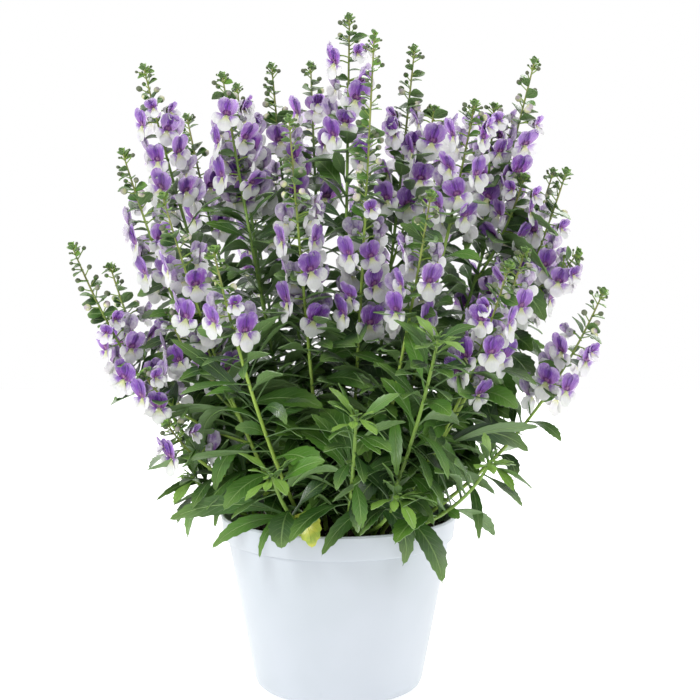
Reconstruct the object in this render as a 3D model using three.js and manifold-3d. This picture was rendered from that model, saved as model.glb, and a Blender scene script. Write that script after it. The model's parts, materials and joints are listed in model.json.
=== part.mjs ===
// Potted angelonia in flower, in millimetres, +Z up.
// The origin is the middle of the pot's flat underside. The plant's front is towards -Y.
// Every stem follows one curve from its hole in the soil to the tip of its raceme. Leaves, florets,
// buds and bracts are set along it by a rule, on the four sides of the square stem, as on the real
// plant, and are fused to the stem or raceme that they grow from.

import * as THREE from 'three';
import { mergeVertices } from 'three/addons/utils/BufferGeometryUtils.js';
import Module from 'manifold-3d';

const wasm = await Module();
wasm.setup();

// Pot
const POT_HEIGHT = 115;
const RIM_RADIUS = 76;
const LIP_DROP = 16;
const LIP_STEP = 4.5;
const LIP_TAPER = 2;
const FOOT_RADIUS = 54.5;
const FOOT_ROUND = 8;
const WALL = 2;
const FLOOR = 2.5;
const POT_SIDES = 24;
const DRAIN_COUNT = 5;
const DRAIN_RADIUS = 4;
const DRAIN_CIRCLE = 36;

// Soil
const SOIL_TOP = 105;
const SOIL_GAP = 0.3;
const HOLE_DEPTH = 9;
const HOLE_GAP = 0.35;

// Stems, square in section: half their thickness, and how their curves start
const STEM_FOOT_HALF = 1.6;
const STEM_TOP_HALF = 1;
const RACHIS_FOOT_HALF = 1;
const RACHIS_TIP_HALF = 0.7;
const BASE_SHARE = 0.27;
const SHOOT_BASE_SHARE = 0.36;
const BASE_LIFT = 2;
const NODE_GAP = 0.3;
const STEM_SEGMENTS = 3;
const RACHIS_SEGMENTS = 2;

// Leaves
const LEAF_PAIR_SPACING = 66;
const LEAF_LONGEST = 64;
const LEAF_SHORTEST = 30;
const LEAF_SLENDER = 0.31;
const LEAF_CROWDING = 1.3;
const LEAF_THICK = 1.3;
const LEAF_FOLD = 0.16;
const PETIOLE_SHARE = 0.13;
const PETIOLE_HALF = 1.2;
const PETIOLE_KEEL = 1.6;

// Florets, buds and bracts
const FLORET_SPACING = 11;
const FLORET_REACH = 7;
const FLORET_REACH_OF_TEST = 11.5;
const BUD_SPACING = 12.5;
const BUD_REACH = 6;
const BRACT_LENGTH = 9;
const BRACT_KEEL = 1.5;
const ROOT_DEPTH = 1.65;
const CLEARANCE = 0.25;

const COLOURS = { pot: 0xdfe5f0, soil: 0x2e2119, stem: 0x3f6e2c, raceme: 0x9a6cc0, shoot: 0x5c8f38 };

// One entry a raceme. tip: where it ends. raceme: its length below the tip. budded: the length of that
// which is still in bud. fork: the stem that it branches from, and how far up that stem's curve.
const SPIKES = [
  { tip: [-167, -20, 289], raceme: 112, budded: 62 },
  { tip: [-147, 18, 272], raceme: 68, budded: 40, fork: [1, 0.3] },
  { tip: [-136, -5, 347], raceme: 98, budded: 44 },
  { tip: [-125, 30, 399], raceme: 98, budded: 32 },
  { tip: [-101, 80, 365], raceme: 86, budded: 36 },
  { tip: [-74, 20, 394], raceme: 84, budded: 24 },
  { tip: [-66, 50, 386], raceme: 84, budded: 28, fork: [6, 0.5] },
  { tip: [-44, 62, 399], raceme: 104, budded: 46 },
  { tip: [-30, -45, 370], raceme: 134, budded: 62 },
  { tip: [-19, 95, 399], raceme: 94, budded: 28 },
  { tip: [7, 25, 431], raceme: 94, budded: 24 },
  { tip: [22, -50, 421], raceme: 196, budded: 124 },
  { tip: [49, 40, 411], raceme: 118, budded: 52 },
  { tip: [56, -75, 326], raceme: 96, budded: 38 },
  { tip: [85, -20, 378], raceme: 86, budded: 16 },
  { tip: [126, 35, 403], raceme: 112, budded: 48 },
  { tip: [141, 60, 330], raceme: 76, budded: 40 },
  { tip: [146, 20, 333], raceme: 106, budded: 38, fork: [17, 0.4] },
  { tip: [165, -35, 262], raceme: 86, budded: 40 },
  { tip: [103, -85, 284], raceme: 94, budded: 32 },
  { tip: [115, -50, 289], raceme: 76, budded: 18, fork: [20, 0.35] },
  { tip: [-107, -55, 323], raceme: 98, budded: 42 },
  { tip: [-74, -95, 294], raceme: 60, budded: 40 },
  { tip: [-106, -50, 181], raceme: 38, budded: 14, fork: [22, 0.12] },
  { tip: [70, 110, 358], raceme: 90, budded: 30 },
  { tip: [-62, 128, 324], raceme: 90, budded: 34 },
  { tip: [22, 138, 336], raceme: 90, budded: 32 },
  { tip: [112, 112, 288], raceme: 84, budded: 34 },
];

// Shoots that carry leaves alone, with a rosette at the tip.
const SHOOTS = [
  { tip: [11, -108, 196] },
  { tip: [60, -100, 242] },
  { tip: [93, -84, 164] },
  { tip: [-40, -88, 156] },
  { tip: [36, -92, 144] },
  { tip: [-93, -28, 144] },
];

// Outline of a leaf's blade: how far along, and how far out of its half width. The third and fifth
// points are the notches under two teeth.
const LEAF_EDGE = [[0.36, 1], [0.64, 0.94], [0.68, 0.7], [0.86, 0.58]];
const LEAF_RIB = 0.5;

// Outline of a floret, seen from the front: across, up, and forward. The points are its right half,
// from the notch in the hood down to the middle lobe of the lip.
const FLORET_EDGE = [
  [0, 8.6, 1.6],
  [5, 11, 2.6],
  [8.6, 4.4, 0.4],
  [4.6, -0.4, -1.2],
  [10.2, -5, -0.6],
  [3, -5.6, -0.8],
  [3.4, -11.5, 1.4],
];
const THROAT_DEPTH = 2.6;
const FLORET_BACK = 5.2;
const FLORET_BACK_RADIUS = 2.2;

// An element that would cross another is turned about its stem by these angles, or moved on to another
// side of the stem, and left out where nothing is clear.
const TURNS = [
  [0, 0], [0, 0.3], [0, -0.3], [1, 0], [3, 0], [1, -0.3], [3, 0.3], [0, 0.5], [0, -0.5], [2, 0], [0, 0.8], [0, -0.8],
];

// Points of a fused solid that lie closer together than this become one.
const FINEST = 0.01;

const UP = new THREE.Vector3(0, 0, 1);
const QUARTER = Math.PI / 2;

// A seeded draw between two numbers.
function seeded(seed) {
  let state = seed;
  return (from, to) => {
    state = (Math.imul(state, 1664525) + 1013904223) >>> 0;
    return from + (to - from) * state / 4294967296;
  };
}

function mix(from, to, share) {
  return from + (to - from) * share;
}

function vector(x, y, z) {
  return new THREE.Vector3(x, y, z);
}

// The point that lies at given distances along directions from a start.
function offset(start, ...steps) {
  const point = start.clone();
  for (let i = 0; i < steps.length; i += 2) {
    point.addScaledVector(steps[i], steps[i + 1]);
  }
  return point;
}

function blend(first, firstShare, second, secondShare) {
  return vector(0, 0, 0).addScaledVector(first, firstShare).addScaledVector(second, secondShare);
}

function solidFromLists(vertProperties, triVerts) {
  return new wasm.Manifold(new wasm.Mesh({ numProp: 3, vertProperties, triVerts }));
}

function solidFromGeometry(geometry) {
  geometry.deleteAttribute('normal');
  geometry.deleteAttribute('uv');
  const merged = mergeVertices(geometry, 1e-4);
  return solidFromLists(merged.attributes.position.array, new Uint32Array(merged.index.array));
}

function solidFromPoints(points, faces) {
  return solidFromLists(new Float32Array(points.flatMap((p) => p.toArray())), new Uint32Array(faces.flat()));
}

function geometryFromSolid(solid) {
  const { vertProperties, triVerts } = solid.getMesh();
  const geometry = new THREE.BufferGeometry();
  geometry.setAttribute('position', new THREE.BufferAttribute(vertProperties, 3));
  geometry.setIndex(new THREE.BufferAttribute(triVerts, 1));
  return geometry;
}

function fuse(solids) {
  return solids.reduce((whole, solid) => whole.add(solid)).simplify(FINEST);
}

// The pot's outside from the axis up to the rim, and its inside back down.
function potProfile() {
  const lipBase = POT_HEIGHT - LIP_DROP;
  return [
    [0, 0],
    [FOOT_RADIUS - FOOT_ROUND, 0],
    [FOOT_RADIUS - 0.3 * FOOT_ROUND, 0.3 * FOOT_ROUND],
    [FOOT_RADIUS, FOOT_ROUND],
    [RIM_RADIUS - LIP_STEP, lipBase],
    [RIM_RADIUS - LIP_TAPER, lipBase],
    [RIM_RADIUS, POT_HEIGHT - 1.5],
    [RIM_RADIUS - 1, POT_HEIGHT],
    [RIM_RADIUS - WALL, POT_HEIGHT],
    ...cavityProfile(0).reverse(),
  ];
}

// The inside of the pot from the axis up to the lip. The soil's side follows it at a gap.
function cavityProfile(gap) {
  const ledge = POT_HEIGHT - LIP_DROP - WALL;
  return [
    [0, FLOOR + gap],
    [FOOT_RADIUS - FOOT_ROUND - gap, FLOOR + gap],
    [FOOT_RADIUS - WALL - gap, FOOT_ROUND + gap],
    [RIM_RADIUS - LIP_STEP - WALL - gap, ledge + gap],
    [RIM_RADIUS - LIP_TAPER - WALL - gap, ledge + LIP_STEP + gap],
  ];
}

function lathe(profile) {
  const points = profile.map(([radius, height]) => new THREE.Vector2(radius, height));
  return new THREE.LatheGeometry(points, POT_SIDES).rotateX(QUARTER);
}

function drainHole(index) {
  const angle = 2 * Math.PI * index / DRAIN_COUNT;
  const hole = new THREE.CylinderGeometry(DRAIN_RADIUS, DRAIN_RADIUS, 4 * FLOOR, 6).rotateX(QUARTER);
  hole.translate(DRAIN_CIRCLE * Math.cos(angle), DRAIN_CIRCLE * Math.sin(angle), 0);
  return solidFromGeometry(hole);
}

function buildPot() {
  let pot = solidFromGeometry(lathe(potProfile()));
  for (let i = 0; i < DRAIN_COUNT; i += 1) {
    pot = pot.subtract(drainHole(i));
  }
  return pot;
}

// The soil fills the pot and ends in a low crown, with a plain square hole for each stem.
function buildSoil(stems) {
  const side = cavityProfile(SOIL_GAP);
  const rim = side[side.length - 1][0];
  const profile = [...side, [rim, SOIL_TOP - 2], [rim - 12, SOIL_TOP], [0, SOIL_TOP]];
  let soil = solidFromGeometry(lathe(profile));
  for (const { base, twist } of stems) {
    const radius = Math.SQRT2 * (STEM_FOOT_HALF + HOLE_GAP);
    const hole = new THREE.CylinderGeometry(radius, radius, 2 * HOLE_DEPTH, 4).rotateX(QUARTER);
    hole.rotateZ(twist + QUARTER / 2).translate(base.x, base.y, SOIL_TOP);
    soil = soil.subtract(solidFromGeometry(hole));
  }
  return soil;
}

// A spike's or shoot's curve leaves its start outwards and turns up towards the tip. Low, wide ones
// sweep out further first.
function growthCurve(start, tip) {
  const run = Math.hypot(tip.x - start.x, tip.y - start.y);
  const lean = Math.min(1, run / (tip.z - start.z));
  const sweep = 0.5 + 0.2 * lean;
  const lift = 0.5 - 0.2 * lean;
  const control = vector(mix(start.x, tip.x, sweep), mix(start.y, tip.y, sweep), mix(start.z, tip.z, lift));
  return new THREE.QuadraticBezierCurve3(start, control, tip);
}

// A straight-sided square limb along part of a curve. Its sections are all parallel, so that its sides
// are flat between them. side(0) to side(3) are the directions in which its four sides face.
function makeLimb(curve, from, to, halfFrom, halfTo, segments, twist) {
  const { v0, v1, v2 } = curve;
  const middle = (from + to) / 2;
  const along = vector(0, 0, 0).addScaledVector(v0, middle - 1).addScaledVector(v1, 1 - 2 * middle);
  along.addScaledVector(v2, middle).normalize();
  const first = vector(Math.cos(twist), Math.sin(twist), 0);
  first.addScaledVector(along, -first.dot(along)).normalize();
  const second = along.clone().cross(first);
  const centres = [];
  for (let k = 0; k <= segments; k += 1) {
    centres.push(curve.getPoint(mix(from, to, k / segments)));
  }
  const halfAt = (share) => mix(halfFrom, halfTo, share);
  const placeAt = (share) => {
    const k = Math.min(segments - 1, Math.floor(share * segments));
    const centre = centres[k].clone().lerp(centres[k + 1], share * segments - k);
    return { centre, half: halfAt(share), along, side };
  };
  const side = (index, turn) => {
    const angle = index * QUARTER + turn;
    return blend(first, Math.cos(angle), second, Math.sin(angle));
  };
  return { centres, halfAt, along, first, second, placeAt, segments };
}

function ringOf(centre, first, second, half) {
  return { centre, first, second, half };
}

function limbRings(limb) {
  return limb.centres.map((centre, k) => ringOf(centre, limb.first, limb.second, limb.halfAt(k / limb.segments)));
}

// The foot of a stem that comes out of the soil stands upright in its hole.
function footRings(start, twist) {
  const first = vector(Math.cos(twist), Math.sin(twist), 0);
  const second = vector(-Math.sin(twist), Math.cos(twist), 0);
  const sunk = offset(start, UP, SOIL_GAP - HOLE_DEPTH - BASE_LIFT);
  return [ringOf(sunk, first, second, STEM_FOOT_HALF), ringOf(start, first, second, STEM_FOOT_HALF)];
}

// Bends a four-sided cylinder along square rings.
function tubeThrough(rings) {
  const segments = rings.length - 1;
  const geometry = new THREE.CylinderGeometry(1, 1, segments, 4, segments).rotateY(QUARTER / 2);
  const position = geometry.attributes.position;
  for (let i = 0; i < position.count; i += 1) {
    const { centre, first, second, half } = rings[Math.round(position.getY(i) + segments / 2)];
    const reach = Math.SQRT2 * half;
    const point = offset(centre, first, position.getX(i) * reach, second, -position.getZ(i) * reach);
    position.setXYZ(i, point.x, point.y, point.z);
  }
  return solidFromGeometry(geometry);
}

// Three points of a ring that lies across a stalk, and the faces from a root point to such a ring.
function triangleRing(centre, across, lift, size) {
  return [0, 1, 2].map((i) => {
    const turn = QUARTER - 2 * Math.PI * i / 3;
    return offset(centre, across, size * Math.cos(turn), lift, size * Math.sin(turn));
  });
}

function coneFaces(root, ring) {
  return [[root, ring, ring + 1], [root, ring + 1, ring + 2], [root, ring + 2, ring]];
}

// The point where a stalk leaves the side of its limb.
function anchorOf(place, side) {
  return offset(place.centre, place.side(side, 0), place.half);
}

// A stalk's root lies deep inside its limb.
function rootOf(place, anchor, stalk) {
  return offset(anchor, stalk, -ROOT_DEPTH * place.half);
}

// A leaf: a three-sided petiole and a toothed blade, folded up along its rib and arched down by bend.
function leaf(place, side, turn, { length, rise, bend, roll, slender }, swell) {
  const start = blend(place.side(side, turn), Math.cos(rise), place.along, Math.sin(rise));
  const anchor = anchorOf(place, side);
  const level = vector(start.x, start.y, 0).normalize();
  const pitch = Math.asin(start.z);
  const petiole = PETIOLE_SHARE * length;
  const blade = length - petiole;
  const halfWidth = length * slender / 2;
  const spot = (u, across, high) => {
    const turned = pitch - bend * u;
    const run = blade * (Math.sin(pitch) - Math.sin(turned)) / bend;
    const climb = blade * (Math.cos(turned) - Math.cos(pitch)) / bend;
    const normal = blend(level, -Math.sin(turned), UP, Math.cos(turned));
    const aside = UP.clone().cross(level);
    const wide = blend(aside, Math.cos(roll), normal, Math.sin(roll));
    const lifted = blend(normal, Math.cos(roll), aside, -Math.sin(roll));
    const point = offset(anchor, start, petiole, level, run, UP, climb);
    return offset(point, wide, across, lifted, high);
  };
  const thick = LEAF_THICK / 2 + swell;
  const points = [
    rootOf(place, anchor, start),
    spot(0, -PETIOLE_HALF - swell, 0),
    spot(0, PETIOLE_HALF + swell, 0),
    spot(0, 0, -PETIOLE_KEEL - swell),
    spot(1 + swell / length, 0, 0),
    spot(LEAF_RIB, 0, thick),
    spot(LEAF_RIB, 0, -thick),
  ];
  LEAF_EDGE.forEach(([u, share]) => {
    const across = share * halfWidth + swell;
    points.push(spot(u, across, LEAF_FOLD * across), spot(u, -across, LEAF_FOLD * across));
  });
  return solidFromPoints(points, LEAF_FACES);
}

// Points of a leaf: 0 the petiole's root, 1 to 3 its top, left, right and keel, 4 the tip, 5 and 6 the
// rib above and below, and 7 to 14 the edge. Both faces are split alike.
const LEAF_FACES = [
  ...coneFaces(0, 1),
  [2, 1, 5],
  ...bladeFaces(5, [1, 8, 10, 12, 14, 4], true),
  ...bladeFaces(5, [2, 7, 9, 11, 13, 4], false),
  [1, 3, 6],
  [3, 2, 6],
  ...bladeFaces(6, [1, 8, 10, 12, 14, 4], false),
  ...bladeFaces(6, [2, 7, 9, 11, 13, 4], true),
];

// Half of one face of a blade, between the rib and one edge.
function bladeFaces(rib, edge, flipped) {
  return edge.slice(1).map((point, i) => (flipped ? [edge[i], point, rib] : [edge[i], rib, point]));
}

// A two-lipped floret that faces outwards, hood up: a shallow funnel with lobes, narrowed behind to a
// three-sided pedicel.
function floret(place, side, turn, { size, nod }, swell) {
  const out = place.side(side, turn);
  const face = vector(out.x, out.y, 0).normalize();
  face.multiplyScalar(Math.cos(nod)).addScaledVector(UP, -Math.sin(nod));
  const top = UP.clone().addScaledVector(face, -UP.dot(face)).normalize();
  const right = top.clone().cross(face);
  const anchor = anchorOf(place, side);
  const back = offset(anchor, out, FLORET_REACH, place.along, 1.5);
  const root = rootOf(place, anchor, back.clone().sub(anchor).normalize());
  const centre = offset(back, face, FLORET_BACK * size);
  const grown = size * (1 + swell / FLORET_REACH_OF_TEST);
  const spot = (x, y, forward) => offset(centre, right, x * grown, top, y * grown, face, forward * size);
  const points = [spot(0, 0, swell - THROAT_DEPTH)];
  FLORET_EDGE.forEach(([x, y, forward]) => points.push(spot(x, y, forward)));
  FLORET_EDGE.slice(1).reverse().forEach(([x, y, forward]) => points.push(spot(-x, y, forward)));
  points.push(...triangleRing(back, right, top, FLORET_BACK_RADIUS * size + swell), root);
  return solidFromPoints(points, FLORET_FACES);
}

// Points of a floret: 0 the throat, 1 to 13 the outline clockwise from the top, 14 to 16 the back ring
// and 17 the pedicel's root.
const FLORET_FACES = floretFaces();

function floretFaces() {
  const count = 2 * FLORET_EDGE.length - 1;
  const back = count + 1;
  const nearest = (i) => back + Math.round(3 * (i - 1) / count) % 3;
  const faces = coneFaces(back + 3, back);
  for (let i = 1; i <= count; i += 1) {
    const next = i % count + 1;
    faces.push([0, next, i], [i, next, nearest(i)]);
    if (nearest(next) !== nearest(i)) {
      faces.push([next, nearest(next), nearest(i)]);
    }
  }
  return faces;
}

// The direction of a stalk with its root in the side of a limb, and the directions across it.
function stalkFrame(place, side, turn, rise) {
  const out = place.side(side, turn);
  const stalk = blend(out, Math.cos(rise), place.along, Math.sin(rise));
  const across = place.along.clone().cross(out);
  const lift = stalk.clone().cross(across);
  return { stalk, across, lift, anchor: anchorOf(place, side) };
}

// A round bud on its pedicel, as a three-sided club.
function bud(place, side, turn, { radius }, swell) {
  const { stalk, across, lift, anchor } = stalkFrame(place, side, turn, 0.5);
  const reach = BUD_REACH + radius;
  const points = [
    rootOf(place, anchor, stalk),
    ...triangleRing(offset(anchor, stalk, reach), across, lift, radius + swell),
    offset(anchor, stalk, reach + 1.2 * radius + swell),
  ];
  return solidFromPoints(points, CLUB_FACES);
}

const CLUB_FACES = [...coneFaces(0, 1), [1, 4, 2], [2, 4, 3], [3, 4, 1]];

// A small ovate bract with a keel below.
function bract(place, side, turn, { length, rise }, swell) {
  const { stalk, across, lift, anchor } = stalkFrame(place, side, turn, rise);
  const middle = offset(anchor, stalk, 0.5 * length);
  const halfWidth = 0.27 * length + swell;
  const points = [
    rootOf(place, anchor, stalk),
    offset(middle, across, -halfWidth),
    offset(middle, across, halfWidth),
    offset(middle, lift, -BRACT_KEEL - swell),
    offset(anchor, stalk, length + swell, lift, -0.1 * length),
  ];
  return solidFromPoints(points, CLUB_FACES);
}

const occupied = [];

function boxesMeet(a, b) {
  return [0, 1, 2].every((axis) => a.min[axis] < b.max[axis] && b.min[axis] < a.max[axis]);
}

function occupy(owner, solid, isLimb) {
  occupied.push({ owner, solid, isLimb, box: solid.boundingBox() });
}

// Clear of every other node, and of the other elements of its own.
function isFree(owner, solid) {
  const box = solid.boundingBox();
  return occupied.every((other) => (other.owner === owner && other.isLimb)
    || !boxesMeet(box, other.box)
    || solid.intersect(other.solid).isEmpty());
}

function growElement(node, shape, place, side, turn, values) {
  for (const [sideStep, turnStep] of TURNS) {
    const attempt = [place, side + sideStep, turn + turnStep, values];
    if (isFree(node.name, shape(...attempt, CLEARANCE))) {
      const solid = shape(...attempt, 0);
      occupy(node.name, solid, false);
      node.solids.push(solid);
      return;
    }
  }
}

function stemBase(tip, share) {
  return vector(share * tip[0], share * tip[1], SOIL_TOP + BASE_LIFT);
}

// The gap that keeps a rachis clear of the slanted end of its stem.
function gapAbove(stem, curve) {
  const ahead = curve.getTangent(0.85);
  return NODE_GAP + 1.2 * STEM_TOP_HALF * Math.sin(stem.along.angleTo(ahead));
}

function numbered(kind, index) {
  return `${kind}_${String(index + 1).padStart(2, '0')}`;
}

// Works out each spike's curve, its leafy limb below and its rachis above.
function planSpikes() {
  const plans = [];
  SPIKES.forEach((spike, index) => {
    const tip = vector(...spike.tip);
    const twist = seeded(500 + index)(0, QUARTER);
    const parent = spike.fork ? plans[spike.fork[0] - 1] : null;
    const start = parent ? parent.curve.getPoint(spike.fork[1]) : stemBase(spike.tip, BASE_SHARE);
    const curve = growthCurve(start, tip);
    const tipSpeed = 2 * tip.distanceTo(curve.v1);
    const from = 1 - spike.raceme / tipSpeed;
    const stem = makeLimb(curve, 0, from, STEM_FOOT_HALF, STEM_TOP_HALF, STEM_SEGMENTS, twist);
    const gap = gapAbove(stem, curve) / tipSpeed;
    plans.push({
      index,
      spike,
      curve,
      twist,
      parent,
      base: start,
      stemName: numbered('stem', parent ? parent.index : index),
      stem,
      rachis: makeLimb(curve, from + gap, 1, RACHIS_FOOT_HALF, RACHIS_TIP_HALF, RACHIS_SEGMENTS, twist),
      openShare: 1 - spike.budded / spike.raceme,
    });
  });
  return plans;
}

function planShoots() {
  return SHOOTS.map(({ tip }, index) => {
    const twist = seeded(600 + index)(0, QUARTER);
    const base = stemBase(tip, SHOOT_BASE_SHARE);
    const curve = growthCurve(base, vector(...tip));
    const stem = makeLimb(curve, 0, 1, STEM_FOOT_HALF, STEM_TOP_HALF, STEM_SEGMENTS, twist);
    return { index, curve, twist, base, stem, stemName: numbered('shoot', index) };
  });
}

function stemSolid(plan) {
  const rings = limbRings(plan.stem);
  return tubeThrough(plan.parent ? rings : [...footRings(plan.base, plan.twist), ...rings.slice(1)]);
}

// Florets from the foot of the raceme up, then buds that shrink towards the tip, with bracts between
// them and a tuft of bracts at the end.
function growRaceme(node, { spike, rachis, openShare, index }) {
  const draw = seeded(1000 + index);
  const florets = Math.max(2, Math.round((spike.raceme - spike.budded) / FLORET_SPACING));
  const buds = Math.max(2, Math.round(spike.budded / BUD_SPACING));
  for (let i = 0; i < florets; i += 1) {
    const place = rachis.placeAt(mix(0.01, openShare, (i + 0.5) / florets));
    const size = mix(1.02, 0.86, i / florets) * draw(0.95, 1.05);
    growElement(node, floret, place, sideOf(i), draw(-0.3, 0.3), { size, nod: draw(0.02, 0.3) });
  }
  for (let i = 0; i < buds; i += 1) {
    const share = (i + 0.5) / buds;
    const place = rachis.placeAt(mix(openShare, 0.97, share));
    growElement(node, bud, place, sideOf(i), draw(-0.3, 0.3), { radius: mix(2.7, 1.2, share) });
    if (i % 2 === 0) {
      const values = { length: mix(BRACT_LENGTH, 6, share), rise: 0.3 };
      growElement(node, bract, place, sideOf(i) + 2, draw(-0.3, 0.3), values);
    }
  }
  for (let i = 0; i < 2; i += 1) {
    growElement(node, bract, rachis.placeAt(0.99), 2 * i, 0, { length: 5.5, rise: 0.9 });
  }
}

// Growth goes round a limb in opposite pairs, each pair a quarter turn from the last.
function sideOf(step) {
  return 2 * step + Math.floor(step / 2) % 2;
}

// Leaves up a limb: largest, closest together and most drooping at the foot.
function growLeaves(node, limb, length, from, seed) {
  const draw = seeded(seed);
  const pairs = Math.max(1, Math.round(length / LEAF_PAIR_SPACING));
  for (let i = 0; i < 2 * pairs; i += 1) {
    const share = ((i + 0.7) / (2 * pairs)) ** LEAF_CROWDING;
    const values = {
      length: mix(LEAF_LONGEST, LEAF_SHORTEST, share) * draw(0.85, 1.1),
      rise: mix(0.2, 0.7, share) + draw(-0.15, 0.15),
      bend: mix(1.3, 0.6, share) + draw(-0.3, 0.3),
      roll: draw(-0.35, 0.35),
      slender: LEAF_SLENDER,
    };
    growElement(node, leaf, limb.placeAt(mix(from, 0.97, share)), sideOf(i), draw(-0.25, 0.25), values);
  }
}

function growRosette(node, limb, seed) {
  const draw = seeded(seed);
  for (let i = 0; i < 4; i += 1) {
    const values = { length: draw(16, 26), rise: 0.5, bend: 0.5, roll: 0, slender: 0.36 };
    growElement(node, leaf, limb.placeAt(0.93 + 0.02 * i), sideOf(i), 0, values);
  }
}

function addMesh(group, name, solid, roughness) {
  const colour = COLOURS[name.split('_')[0]];
  const finish = new THREE.MeshStandardMaterial({ color: colour, roughness, metalness: 0 });
  const mesh = new THREE.Mesh(geometryFromSolid(solid), finish);
  mesh.name = name;
  group.add(mesh);
}

function buildPlant(group, plans, shoots) {
  const nodes = new Map();
  const nodeWith = (name, solid) => {
    occupy(name, solid, true);
    const node = nodes.get(name) ?? { name, solids: [] };
    node.solids.push(solid);
    nodes.set(name, node);
    return node;
  };
  plans.forEach((plan) => {
    plan.stemNode = nodeWith(plan.stemName, stemSolid(plan));
    plan.racemeNode = nodeWith(numbered('raceme', plan.index), tubeThrough(limbRings(plan.rachis)));
  });
  shoots.forEach((plan) => {
    plan.stemNode = nodeWith(plan.stemName, stemSolid(plan));
  });
  plans.forEach((plan) => growRaceme(plan.racemeNode, plan));
  shoots.forEach((plan) => growRosette(plan.stemNode, plan.stem, 3000 + plan.index));
  shoots.forEach((plan) => growLeaves(plan.stemNode, plan.stem, plan.curve.getLength(), 0.1, 4000 + plan.index));
  plans.forEach((plan) => {
    const length = plan.curve.getLength() - plan.spike.raceme;
    growLeaves(plan.stemNode, plan.stem, length, plan.parent ? 0.2 : 0.06, 2000 + plan.index);
  });
  nodes.forEach(({ name, solids }) => addMesh(group, name, fuse(solids), 0.6));
}

function buildPotWithSoil(group, rooted) {
  const pot = buildPot();
  const soil = buildSoil(rooted);
  occupy('pot', pot, false);
  occupy('soil', soil, false);
  addMesh(group, 'pot', pot, 0.45);
  addMesh(group, 'soil', soil, 0.95);
}

const spikePlans = planSpikes();
const shootPlans = planShoots();
const angelonia = new THREE.Group();
buildPotWithSoil(angelonia, [...spikePlans.filter((plan) => !plan.parent), ...shootPlans]);
buildPlant(angelonia, spikePlans, shootPlans);

export default angelonia;
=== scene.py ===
"""Looks of the potted angelonia: fine florets, buds, leaves, stems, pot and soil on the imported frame.

The plant is laid out by the same rule as its solids, in millimetres, and each piece is turned to metres
when it is finished. Where the frame has a leaf, floret, bud or bract, the fine one takes its place
exactly. Between them the scene adds the ones that the real plant has and the solids leave out.
"""

import json
import math
import random

import bmesh
import bpy
from mathutils import Matrix, Vector, kdtree, noise

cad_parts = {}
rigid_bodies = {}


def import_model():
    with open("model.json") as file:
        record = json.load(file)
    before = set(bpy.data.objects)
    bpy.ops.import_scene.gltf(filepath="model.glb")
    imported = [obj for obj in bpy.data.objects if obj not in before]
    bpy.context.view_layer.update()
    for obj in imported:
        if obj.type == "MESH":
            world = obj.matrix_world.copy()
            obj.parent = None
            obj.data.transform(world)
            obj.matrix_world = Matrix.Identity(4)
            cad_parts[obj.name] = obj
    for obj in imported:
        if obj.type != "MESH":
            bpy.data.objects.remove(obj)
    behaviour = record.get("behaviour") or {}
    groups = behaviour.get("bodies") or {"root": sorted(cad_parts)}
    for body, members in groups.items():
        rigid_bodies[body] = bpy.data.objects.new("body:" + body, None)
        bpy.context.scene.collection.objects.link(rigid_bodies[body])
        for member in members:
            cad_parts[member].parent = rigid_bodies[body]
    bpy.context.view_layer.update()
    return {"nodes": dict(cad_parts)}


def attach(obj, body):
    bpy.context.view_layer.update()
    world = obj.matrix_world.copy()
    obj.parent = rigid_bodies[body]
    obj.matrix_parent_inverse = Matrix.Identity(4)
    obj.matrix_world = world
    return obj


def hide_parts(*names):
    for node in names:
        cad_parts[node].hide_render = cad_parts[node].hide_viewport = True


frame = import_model()

MM = 0.001
QUARTER = math.pi / 2
FULL_TURN = 2 * math.pi
UP = Vector((0, 0, 1))

# Pot and soil
POT_HEIGHT = 115
RIM_RADIUS = 76
LIP_DROP = 16
LIP_STEP = 4.5
LIP_TAPER = 2
FOOT_RADIUS = 54.5
FOOT_ROUND = 8
UNDERSIDE_RADIUS = 46
UNDERSIDE_HOLLOW = 0.6
WALL = 2
FLOOR = 2.5
POT_STEPS = 96
POT_SHARP_ANGLE = 0.6
DRAIN_COUNT = 5
DRAIN_RADIUS = 4
DRAIN_CIRCLE = 36
DRAIN_SIDES = 24
SOIL_TOP = 105
SOIL_GAP = 0.3
SOIL_STEPS = 90
CROWN_RADIUS = 66
CROWN_RING = 3
CROWN_ROUGH = 1.5
CRUMB_COUNT = 420
CRUMB_SPREAD = 69
CRUMB_SIZES = (0.8, 2.6)

# Stems: half their thickness, and how their curves start
STEM_FOOT_HALF = 1.6
STEM_TOP_HALF = 1
RACHIS_FOOT_HALF = 1
RACHIS_TIP_HALF = 0.7
BASE_SHARE = 0.27
SHOOT_BASE_SHARE = 0.36
BASE_LIFT = 2
FOOT_SUNK = 4
NODE_GAP = 0.3
STEM_SEGMENTS = 3
RACHIS_SEGMENTS = 2
TUBE_STEPS = 12
# How each kind of limb is drawn: how young its skin is at its foot and at its end, its sides, its width for
# the solid one's, how slim it ends, how far it starts back in the limb below, and its brightest painted light
STEM_SKIN = dict(young=(0.1, 0.25), sides=8, swell=0.94)
SHOOT_SKIN = dict(young=(0.1, 0.3), sides=8, swell=0.94, brightest=0.3)
SPRAY_SKIN = dict(young=(0.15, 0.25), sides=6, swell=0.94)
RACHIS_SKIN = dict(young=(0.25, 0.8), sides=8, swell=1.02, slim=0.7, sunk=0.012)

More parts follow.
